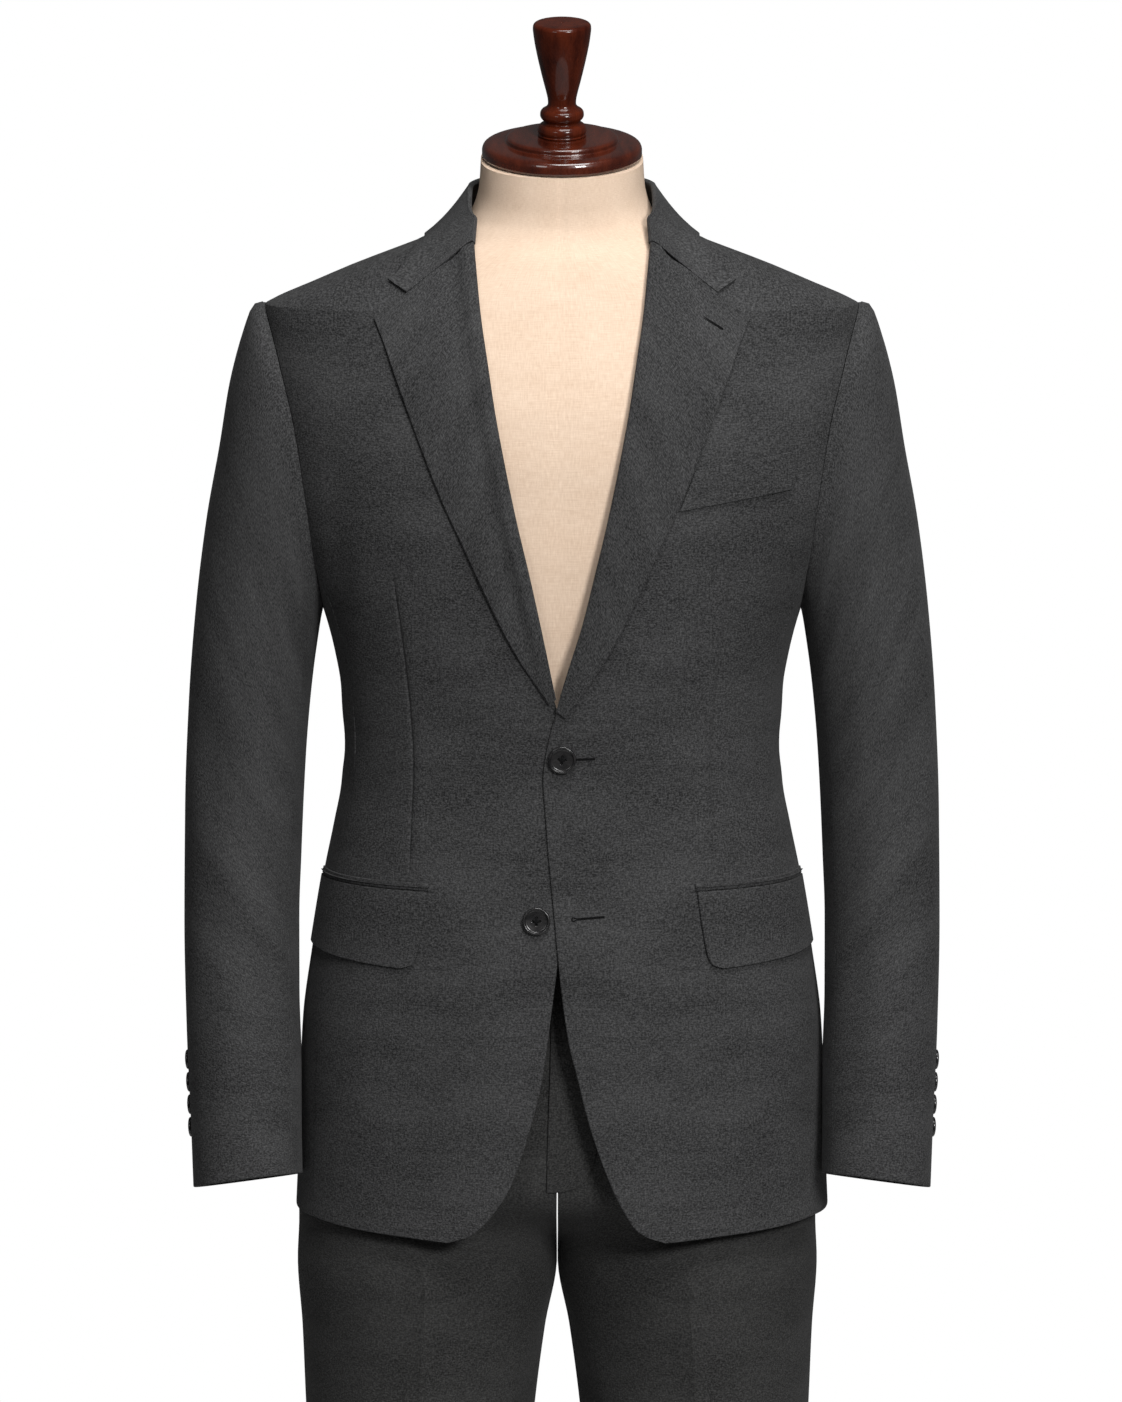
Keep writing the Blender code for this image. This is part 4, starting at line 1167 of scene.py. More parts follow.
@dataclass
class LapelsAndCollar:
    """The rolled lapels and the collar that they meet at the notch.

    Lines are rows of distance from the centre and height. A collar row holds the angle at its seam,
    the fold's rise and lean, and the angle and height of its outer edge.
    """

    cloth: bpy.types.Material
    over_fold: Rows = ((-0.0035, 1.2765), (0.0037, 1.3019), (0.0157, 1.3412), (0.0254, 1.3804))
    under_fold: Rows = ((0.0052, 1.2850), (0.0088, 1.3030), (0.0167, 1.3412), (0.0254, 1.3804))
    fold_top: Rows = (
        (0.0345, 1.4190), (0.0430, 1.4600), (0.0508, 1.5020), (0.0558, 1.5340),
        (0.0610, 1.5680), (0.0640, 1.5960), (0.0662, 1.6185),
    )
    edge: Rows = (
        (0.0160, 1.2910), (0.0297, 1.3120), (0.0460, 1.3420), (0.0605, 1.3727),
        (0.0748, 1.4040), (0.0877, 1.4315), (0.1013, 1.4654), (0.1122, 1.4940),
        (0.1237, 1.5250), (0.1328, 1.5500), (0.1390, 1.5645),
    )
    over_tip: tuple[float, float] = (0.0030, 1.2715)
    under_tip: tuple[float, float] = (0.0100, 1.2815)
    roll: float = 0.0029
    roll_start: float = -0.0012
    roll_turns: tuple[float, float] = (-80.0, 90.0)
    belly: float = 0.0020
    swells: Rows = ((0.0075, 0.0045, 1.0), (0.019, 0.0065, -0.8), (0.038, 0.012, 0.6))
    edge_sink: float = 0.0004
    step: float = 0.0045
    fine_step: float = 0.0022
    edge_out: float = 0.0021
    collar_rows: Rows = (
        (90.0, 0.0300, 0.0050, 90.0, 1.6115),
        (68.0, 0.0296, 0.0065, 66.0, 1.6120),
        (45.0, 0.0285, 0.0095, 42.0, 1.6140),
        (22.0, 0.0268, 0.0130, 20.0, 1.6175),
        (0.0, 0.0250, 0.0150, -3.0, 1.6200),
        (-20.0, 0.0180, 0.0115, -29.0, 1.6110),
        (-36.0, 0.0100, 0.0035, -42.0, 1.6005),
        (-43.5, 0.0055, 0.0000, -45.3, 1.5950),
    )
    collar_fold: Rows = ((-0.0023, -0.0026), (-0.0014, -0.0007), (0.0009, 0.0), (0.0023, -0.0020))
    collar_near: tuple[float, ...] = (0.0, 0.03, 0.08, 0.15)
    fall_steps: tuple[float, ...] = (0.30, 0.55, 0.80, 1.00)
    collar_seam: float = 1.6325
    collar_bend: float = 0.0045
    collar_out: float = 0.0033
    collar_thick: float = 0.0016
    end_roll: Rows = (
        (-0.0020, 0.0, -0.0014), (-0.0026, 0.0, 0.0010), (-0.0022, 0.0, 0.0024),
        (-0.0008, 0.0, 0.0036), (0.0012, -0.0008, 0.0036),
    )
    gorge_top: tuple[float, float] = (0.0668, 1.6192)
    gorge_lift: float = 0.0004
    notch: tuple[float, float] = (0.1147, 1.5833)
    tip: tuple[float, float] = (0.1287, 1.5916)

    def lapel(self, side: Side) -> None:
        """One lapel, rolled over at its fold line."""
        left = side is Side.LEFT
        fold = outline((self.over_fold if left else self.under_fold) + self.fold_top)
        edge = outline(((self.over_tip if left else self.under_tip),) + self.edge)
        at = np.linspace(0, 1, 600)
        long = along_line(edge(at))
        rows = np.interp(graded(float(long[-1]), self.step), long, at)
        start, end = fold(rows), edge(rows)
        reach = np.linalg.norm(end - start, axis=1)
        way = (end - start) / reach[:, None]
        radius = self.roll * smoothstep(reach / 0.035) + 1e-5
        turns = np.radians(np.linspace(*self.roll_turns, 11))
        roll_across = self.roll_start + radius[:, None] * (1 - np.cos(turns))[None, :]
        roll_out = LAPEL_OUT - radius[:, None] + radius[:, None] * np.sin(turns)[None, :]
        rest = graded(float(reach.max()), self.fine_step, (False, True))[1:] / float(reach.max())
        first = roll_across[:, -1:]
        rest_across = first + (reach[:, None] - first) * rest[None, :]
        across = np.concatenate([roll_across, rest_across], axis=1)
        swell = sum(share * bell(rest_across - place, wide) for place, wide, share in self.swells)
        swell = self.belly * swell * (smoothstep(reach / 0.05) * (0.75 + 0.25 * np.cos(rows * 5.0)))[:, None]
        rest_out = LAPEL_OUT + swell - self.edge_sink * smoothstep((rest - 0.8) / 0.2)[None, :]
        out = np.concatenate([roll_out, rest_out], axis=1)
        x = start[:, 0:1] + way[:, 0:1] * across
        z = start[:, 1:2] + way[:, 1:2] * across
        grid = on_front(x, z, out + overlap_lift(x, side))
        name = f"lapel_{side.label}"
        cut = Cut(rolls=(0.0, 0.0008, 0.0004, 0.0001), turn=0.32)
        panel = Panel(name, grid, cut, side=side)
        panel.make(self.cloth, "worsted", [f"front_{side.label}_cloth"])

    def collar_section(self, place: float) -> np.ndarray:
        """One row of points across the collar, from its seam over the fold to its outer edge."""
        angle, rise, lean, edge_angle, edge_z = outline(self.collar_rows)(place)
        seam = BODY.point(math.radians(angle), self.collar_seam)
        out = BODY.point(math.radians(angle), self.collar_seam, 0.001) - seam
        out[2] = 0.0
        out /= np.linalg.norm(out)
        up = np.array([0.0, 0.0, 1.0])
        fold = seam + up * rise - out * lean
        row = [seam - out * self.collar_thick]
        row += [fold + out * across + up * lift for across, lift in self.collar_fold]
        edge = BODY.point(math.radians(edge_angle), edge_z, self.edge_out)
        start, bend = row[-1], seam + out * self.collar_bend
        row += [start * (1 - t) ** 2 + bend * 2 * t * (1 - t) + edge * t * t for t in self.fall_steps]
        return np.array(row)

    def collar_end(self) -> np.ndarray:
        """The collar's front end, along the gorge to the notch and up to its tip."""
        x, z = self.gorge_top
        row = [on_front(x + across, z + up, out) for across, up, out in self.end_roll]
        for t in self.fall_steps[:2]:
            reach = t / self.fall_steps[2]
            place = np.array(self.gorge_top) * (1 - reach) + np.array(self.notch) * reach
            row.append(on_front(*place, self.collar_out + self.gorge_lift * (1 - reach) ** 2))
        row += [on_front(*self.notch, self.collar_out), on_front(*self.tip, self.collar_out)]
        return np.array(row)

    def collar(self) -> None:
        """The whole collar, from one tip round the neck to the other."""
        half = [self.collar_section(i / 10) for i in range(11)] + [self.collar_end()]
        other = [row * MIRROR for row in half[:0:-1]]
        coarse = np.array(other + half).transpose(1, 0, 2)
        rows, columns = coarse.shape[:2]
        down = counted(coarse[:-1].reshape(rows - 1, -1))
        near = np.array(self.collar_near)
        at = np.concatenate([
            np.linspace(0, 1, 5), np.linspace(1, 4, 22)[1:], np.linspace(4, rows - 2, 14)[1:],
            np.linspace(rows - 2, rows - 1.25, 5)[1:], rows - 1 - near[::-1],
        ])
        tall = down(np.minimum(at, rows - 2)).reshape(len(at), columns, 3)
        past = np.maximum(at - (rows - 2), 0.0)[:, None, None]
        tall = tall + past * (coarse[-1] - coarse[-2])[None]
        along = counted(tall.transpose(1, 0, 2).reshape(columns, -1))
        last = columns - 1
        at = np.concatenate([near, np.linspace(0.3, last - 0.3, 118), last - near[::-1]])
        grid = along(at).reshape(len(at), tall.shape[0], 3).transpose(1, 0, 2)
        cut = Cut(thick=self.collar_thick, rolls=(0.0002, 0.0002, 0.0, 0.0008))
        panel = Panel("collar", grid, cut)
        panel.make(self.cloth, "worsted", ["form_torso"])

    def build(self) -> None:
        """Builds both lapels and the collar."""
        for side in Side:
            self.lapel(side)
        self.collar()


@dataclass
class Pockets:
    """The breast welt, the hip pockets' jets and their flaps."""

    cloth: bpy.types.Material
    flap_rows: Rows = (
        (0.1005, 1.1390, 1.1390), (0.1030, 1.1200, 1.1215), (0.1062, 1.1000, 1.1060),
        (0.1085, 1.0900, 1.0975), (0.1125, 1.0838, 1.0920), (0.1200, 1.0810, 1.0875),
    )
    jet_rows: Rows = ((0.0990, 1.1448, 1.1448), (0.0992, 1.1394, 1.1394))
    side_angle: float = math.radians(-5.5)
    flap_out: float = 0.0022
    flap_thick: float = 0.0018
    droop: float = 0.0010
    jet_out: float = 0.0018
    jet_thick: float = 0.0014
    welt_low: Rows = ((0.0868, 1.4257), (0.1707, 1.4390))
    welt_high: Rows = ((0.0985, 1.4554), (0.1751, 1.4680))
    step: float = 0.0035

    def strip(self, name: str, side: Side, rows: Rows, out: float, thick: float, droop: float) -> None:
        """A flap or a jet, from its slanted front end round to the side of the body.

        Args:
            name: the CAD node that it stands for.
            side: the side that it is on.
            rows: its front end's distance and height, and the height at its back end, downward.
            out: how far its face stands off the body.
            thick: its thickness.
            droop: how much further its lower edge stands off.
        """
        tall = rows[0][1] - rows[-1][1]
        at = graded(tall, self.step) / tall * (len(rows) - 1)
        x, z, side_z = counted(rows[::-1])(at).T
        left = np.stack([BODY.front_angle(x, z), z], axis=1)
        right = np.stack([np.full_like(z, self.side_angle), side_z], axis=1)
        angle, height = body_places([left, right], self.step)
        share = ((rows[0][1] - height) / tall).clip(0, 1)
        lift = droop * share ** 1.5 * (0.7 + 0.3 * np.sin(angle * 9.0))
        grid = BODY.point(angle, height, out + lift)
        cut = Cut(thick, (0.0008, 0.0005, 0.0008, 0.0004))
        panel = Panel(name, grid, cut, 0.0, cut_on_body(angle, height), side)
        rest = "front" if "flap" in name else "side"
        panel.make(self.cloth, "worsted", [f"{rest}_{side.label}_cloth"])

    def welt(self) -> None:
        """The breast pocket's welt, on the wearer's left."""
        low, high = np.array(self.welt_low), np.array(self.welt_high)
        tall = float(np.linalg.norm(high[0] - low[0]))
        wide = float(np.linalg.norm(low[1] - low[0]))
        t = (graded(tall, self.step) / tall)[:, None, None]
        s = (graded(wide, self.step) / wide)[None, :, None]
        places = (low[0] * (1 - s) + low[1] * s) * (1 - t) + (high[0] * (1 - s) + high[1] * s) * t
        x, z = places[..., 0], places[..., 1]
        cut = Cut(self.jet_thick, (0.0006, 0.0006, 0.0006, 0.0006))
        flat = cut_on_body(BODY.front_angle(x, z), z)
        panel = Panel("breast_welt", on_front(x, z, self.jet_out), cut, 0.0, flat)
        panel.make(self.cloth, "worsted", ["front_left_cloth"])

    def build(self) -> None:
        """Builds every pocket."""
        self.welt()
        for side in Side:
            self.strip(f"flap_{side.label}", side, self.flap_rows, self.flap_out, self.flap_thick, self.droop)
            self.strip(f"jet_{side.label}", side, self.jet_rows, self.jet_out, self.jet_thick, 0.0)


@dataclass
class Sleeves:
    """Two-piece sleeves set into the armholes, eased a little at their heads.

    A ring holds its outer side's x and z, its inner side's x and z, its middle's y, half its depth,
    how much of the armhole's oval it keeps, and how far its front end is raised. Creases lie at
    turns round the sleeve and places along it.
    """

    cloth: bpy.types.Material
    armhole: Armhole = field(default_factory=Armhole)
    rings: Rows = (
        (0.2229, 1.5703, 0.1805, 1.3396, 0.003, 0.0705, 1.00, 0.000),
        (0.2275, 1.5722, 0.1818, 1.3340, 0.003, 0.0712, 0.85, 0.000),
        (0.2335, 1.5665, 0.1832, 1.3255, 0.003, 0.0712, 0.60, 0.000),
        (0.2406, 1.5470, 0.1850, 1.3130, 0.002, 0.0708, 0.35, 0.000),
        (0.2500, 1.5110, 0.1875, 1.2950, 0.002, 0.0695, 0.15, 0.000),
        (0.2580, 1.4630, 0.1905, 1.2680, 0.001, 0.0675, 0.05, 0.000),
        (0.2680, 1.4080, 0.1933, 1.2350, 0.000, 0.0650, 0.00, 0.000),
        (0.2765, 1.3400, 0.1955, 1.1970, -0.002, 0.0630, 0.00, 0.000),
        (0.2820, 1.2690, 0.1975, 1.1500, -0.006, 0.0605, 0.00, 0.000),
        (0.2850, 1.1900, 0.1990, 1.1050, -0.012, 0.0580, 0.00, 0.000),
        (0.2856, 1.1050, 0.1988, 1.0500, -0.022, 0.0555, 0.00, 0.002),
        (0.2838, 1.0250, 0.1970, 0.9980, -0.034, 0.0530, 0.00, 0.005),
        (0.2808, 0.9620, 0.1968, 0.9540, -0.045, 0.0505, 0.00, 0.008),
        (0.2784, 0.9050, 0.1960, 0.9160, -0.056, 0.0480, 0.00, 0.010),
    )
    roundness: float = 2.2
    seam_radius: float = 0.05
    mean_radius: float = 0.055
    front_seam: float = math.radians(145.0)
    back_seam: float = math.radians(-28.0)
    head_ease: float = 0.0008
    step: float = 0.0068
    fade_in: tuple[float, float] = (1.5, 2.0)
    fade_out: tuple[float, float] = (12.9, 0.8)
    creases: tuple[Crease, ...] = crease_table(
        (2.10, 8.7, 0.70, 8.1, 0.16, -0.0030),
        (2.30, 9.3, 0.95, 9.0, 0.15, 0.0018),
        (2.20, 10.0, 1.05, 9.8, 0.17, -0.0024),
        (1.10, 6.1, 0.85, 12.5, 0.30, -0.0016),
        (1.75, 5.4, 1.70, 12.6, 0.22, 0.0014),
        (2.60, 4.0, 1.50, 5.6, 0.20, -0.0022),
        (-0.55, 5.2, -0.75, 12.0, 0.28, 0.0012),
        (3.60, 8.8, 4.80, 8.2, 0.18, -0.0026),
        (3.50, 9.9, 4.70, 9.5, 0.18, 0.0016),
        (4.60, 3.2, 5.60, 4.8, 0.22, -0.0020),
        stretch=0.35,
    )
    vent_top: float = 10.55
    vent_turn: float = math.radians(-2.0)
    vent_width: float = 0.020
    vent_depth: float = 0.0007

    def __post_init__(self) -> None:
        """Makes the curve through the rings."""
        self.curve = counted(self.rings)

    def ring(self, place: np.ndarray, turn: np.ndarray) -> np.ndarray:
        """Points of the sleeve's own rings: turn is 0 at the outer side and 90 degrees in front."""
        row = self.curve(place)
        u = signed_power(np.cos(turn), 2 / self.roundness)
        v = signed_power(np.sin(turn), 2 / self.roundness)
        x = (row[..., 0] + row[..., 2]) / 2 + (row[..., 0] - row[..., 2]) / 2 * u
        z = (row[..., 1] + row[..., 3]) / 2 + (row[..., 1] - row[..., 3]) / 2 * u
        return np.stack([x, row[..., 4] - row[..., 5] * v, z + row[..., 7] * v], axis=-1)

    def point(self, turn: np.ndarray, place: np.ndarray) -> np.ndarray:
        """Points of the sleeve: place counts the rings down from the armhole."""
        turn, place = np.broadcast_arrays(np.asarray(turn, float), np.asarray(place, float))
        keep = self.curve(place)[..., 6:7]
        shift = self.armhole.point(turn) - self.ring(np.zeros_like(place), turn)
        return self.ring(place, turn) + keep * shift

    def folds(self, turn: np.ndarray, place: np.ndarray) -> np.ndarray:
        """How far the creases move the cloth out, fading toward the head and the cuff."""
        (first, rise), (last, fall) = self.fade_in, self.fade_out
        found = creased(self.creases, turn, place)
        return found * smoothstep((place - first) / rise) * smoothstep((last - place) / fall)

    def panel(self, name: str, side: Side, start: float, end: float) -> None:
        """The top or under sleeve, between its two seams."""
        gap = SEAM / self.seam_radius
        wide = (end - start) * self.mean_radius
        turns = start + gap + (end - start - 2 * gap) * graded(wide, self.step) / wide
        many = np.linspace(0, len(self.rings) - 1, 1400)
        long = along_line(self.point(np.full_like(many, (start + end) / 2), many))
        places = np.interp(graded(float(long[-1]), self.step), long, many)
        turn, place = np.meshgrid(turns, places)
        head = np.maximum(np.cos(turn), 0.0) ** 1.5
        head = head * bell(place - 0.55, 0.55) * smoothstep(place / 0.35)
        vent = smoothstep((place - self.vent_top) / 0.3) * bell(turn - self.vent_turn, self.vent_width)
        relief = self.folds(turn, place) - self.head_ease * head - self.vent_depth * vent
        cut = Cut(rolls=(0.0005, 0.0005, 0.0004, 0.0009))
        panel = Panel(f"{name}_{side.label}", self.point(turn, place), cut, relief, None, side)
        beside = [f"front_{side.label}_cloth", f"back_{side.label}_cloth"]
        panel.make(self.cloth, "worsted", beside)

    def build(self) -> None:
        """Builds both sleeves."""
        for side in Side:
            self.panel("top_sleeve", side, self.back_seam, self.front_seam)
            self.panel("under_sleeve", side, self.front_seam, self.back_seam + 2 * math.pi)


@dataclass
class Trousers:
    """Straight trousers with pressed creases, a waistband and a fly.

    A leg's row holds its height, its inner and outer side, and its depth in front and behind. A row
    of the fly holds its left and right edge and the height. Folds lie at shares of a half turn from
    the outer side, and heights.
    """

    cloth: bpy.types.Material
    legs: Rows = (
        (0.028, 0.0535, 0.1840, 0.070, 0.071),
        (0.180, 0.0500, 0.1810, 0.074, 0.075),
        (0.350, 0.0440, 0.1800, 0.080, 0.082),
        (0.500, 0.0360, 0.1810, 0.088, 0.089),
        (0.620, 0.0270, 0.1868, 0.097, 0.098),
        (0.7265, 0.0172, 0.1922, 0.104, 0.108),
        (0.7895, 0.0090, 0.1947, 0.108, 0.118),
        (0.840, 0.0002, 0.1981, 0.1115, 0.128),
        (0.910, 0.0002, 0.1900, 0.1115, 0.128),
    )
    levels: tuple[float, float] = (0.028, 1.0827)
    crotch: float = 0.840
    seat_top: float = 0.910
    shift: float = -0.0036
    roundness: float = 2.05
    leg_seam: float = 0.0003
    centre_seam: float = 0.0004
    crease: float = 0.0024
    step: float = 0.0078
    panel_width: float = 0.22
    crease_turn: float = 0.5
    crease_swing: float = 0.13
    crease_width: float = 0.0045
    waist: tuple[float, float] = (1.0831, 1.118)
    waist_thick: float = 0.0022
    waist_gap: float = 0.0005
    fly_rows: Rows = (
        (-0.0080, 0.0020, 0.9120), (-0.0080, 0.0170, 0.9170), (-0.0080, 0.0255, 0.9300),
        (-0.0080, 0.0290, 0.9500), (-0.0080, 0.0300, 1.0000), (-0.0080, 0.0300, 1.0400),
        (-0.0080, 0.0300, 1.0790),
    )
    fly_width: float = 0.038
    fly_lift: float = 0.0019
    fly_thick: float = 0.0014
    front_folds: tuple[Crease, ...] = crease_table(
        (-0.93, 0.86, -0.62, 0.80, 0.020, -0.0022),
        (-0.90, 0.80, -0.66, 0.72, 0.022, 0.0015),
        (-0.30, 0.83, -0.20, 0.62, 0.060, -0.0018),
        (-0.75, 0.52, -0.28, 0.49, 0.022, -0.0020),
        (-0.70, 0.46, -0.32, 0.44, 0.020, 0.0014),
        (-0.72, 0.12, -0.34, 0.15, 0.020, -0.0022),
        (-0.66, 0.17, -0.40, 0.20, 0.018, 0.0014),
    )
    back_folds: tuple[Crease, ...] = crease_table(
        (0.92, 0.85, 0.45, 0.80, 0.022, -0.0034),
        (0.88, 0.79, 0.40, 0.74, 0.022, 0.0020),
        (0.80, 0.72, 0.50, 0.66, 0.024, -0.0022),
        (0.75, 0.50, 0.25, 0.53, 0.022, -0.0026),
        (0.70, 0.44, 0.30, 0.47, 0.020, 0.0016),
        (0.70, 0.10, 0.35, 0.13, 0.020, -0.0020),
    )

    def __post_init__(self) -> None:
        """Makes the curve through the legs' sections."""
        self.curve = Curve(self.legs)

    def hung_shift(self, z: np.ndarray) -> np.ndarray:
        """How far the legs hang off the jacket's centre."""
        return self.shift * smoothstep((1.06 - z) / 0.16)

    def point(self, across: np.ndarray, z: np.ndarray) -> np.ndarray:
        """Points of one leg: across is 0 at the outer side, -1 in front at the centre, 1 at the back."""
        inner, outer, front, back = np.moveaxis(self.curve(z), -1, 0)
        angle = math.pi * across
        u = signed_power(np.cos(angle), 2 / self.roundness)
        v = signed_power(np.sin(angle), 2 / self.roundness)
        x = (inner + outer) / 2 + (outer - inner) / 2 * u
        leg = np.stack([x, np.where(v < 0, front, back) * v, z], axis=-1)
        seat = PELVIS.point(math.pi / 2 * across, np.maximum(z, PELVIS.rows[0][0]))
        share = smoothstep((self.seat_top - z) / (self.seat_top - self.crotch))[..., None]
        found = leg * share + seat * (1 - share)
        found[..., 2] = z
        return found

    def half(self, name: str, side: Side, facing: int, folds: tuple[Crease, ...]) -> None:
        """A front or a back of one leg, from the hem up to the waistband."""
        z = self.levels[0] + graded(self.levels[1] - self.levels[0], self.step)
        last = np.where(z <= self.crotch, self.leg_seam, self.centre_seam)
        half = graded(self.panel_width / 2, self.step) / self.panel_width
        share = np.concatenate([half, 1 - half[::-1][1:]])
        across = self.leg_seam + (1 - last[:, None] - self.leg_seam) * share[None, :]
        across = across * facing if facing > 0 else -across[:, ::-1]
        height = np.repeat(z[:, None], across.shape[1], axis=1)
        grid = self.point(across, height)
        grid[..., 0] += side.value * self.hung_shift(height)
        seat = smoothstep((height - self.crotch) / 0.12)
        line = facing * (self.crease_turn + self.crease_swing * seat)
        girth = (across - line) * 0.23
        press = self.crease * (np.exp(-np.abs(girth) / self.crease_width) - 0.25 * bell(girth, 0.020))
        press = press * smoothstep((0.965 - height) / 0.10)
        relief = creased(folds, across, height) * smoothstep(np.minimum(share, 1 - share)[None, :] / 0.12)
        cut = Cut(rolls=(0.0005, 0.0005, 0.0008, 0.0003))
        panel = Panel(f"{name}_{side.label}", grid, cut, relief + press, None, side)
        panel.make(self.cloth, "trouser_worsted", ["waistband_cloth", "form_torso"])

    def waistband(self) -> None:
        """The band round the form's waist."""
        turns = 2 * math.pi * np.arange(96) / 96
        tall = self.waist[1] - self.waist[0]
        turn, z = np.meshgrid(turns, self.waist[0] + graded(tall, 0.006))
        grid = TORSO.point(turn, z, self.waist_thick + self.waist_gap)
        grid[..., 2] = z
        cut = Cut(self.waist_thick, (0.0, 0.0, 0.0005, 0.0008), closed=True)
        panel = Panel("waistband", grid, cut)
        panel.make(self.cloth, "trouser_worsted", ["form_torso"])

    def fly(self) -> None:
        """The fly's cover, over the centre seam."""
        rows = counted(self.fly_rows)
        many = np.linspace(0, len(self.fly_rows) - 1, 300)
        tall = rows(many)[:, 2] - self.fly_rows[0][2]
        at = np.interp(graded(float(tall[-1]), 0.005), tall, many)
        left, right, z = rows(at).T
        share = graded(self.fly_width, 0.004) / self.fly_width
        x = left[:, None] * (1 - share) + right[:, None] * share
        height = np.repeat(z[:, None], x.shape[1], axis=1)
        grid = PELVIS.point(PELVIS.front_angle(x, height), height, self.fly_lift)
        grid[..., 0] += self.hung_shift(height)
        cut = Cut(self.fly_thick, (0.0006, 0.0004, 0.0006, 0.0004))
        panel = Panel("fly", grid, cut)
        panel.make(self.cloth, "trouser_worsted", ["trouser_front_left_cloth"])

    def build(self) -> None:
        """Builds the legs, the waistband and the fly."""
        for side in Side:
            self.half("trouser_front", side, -1, self.front_folds)
            self.half("trouser_back", side, 1, self.back_folds)
        self.waistband()
        self.fly()


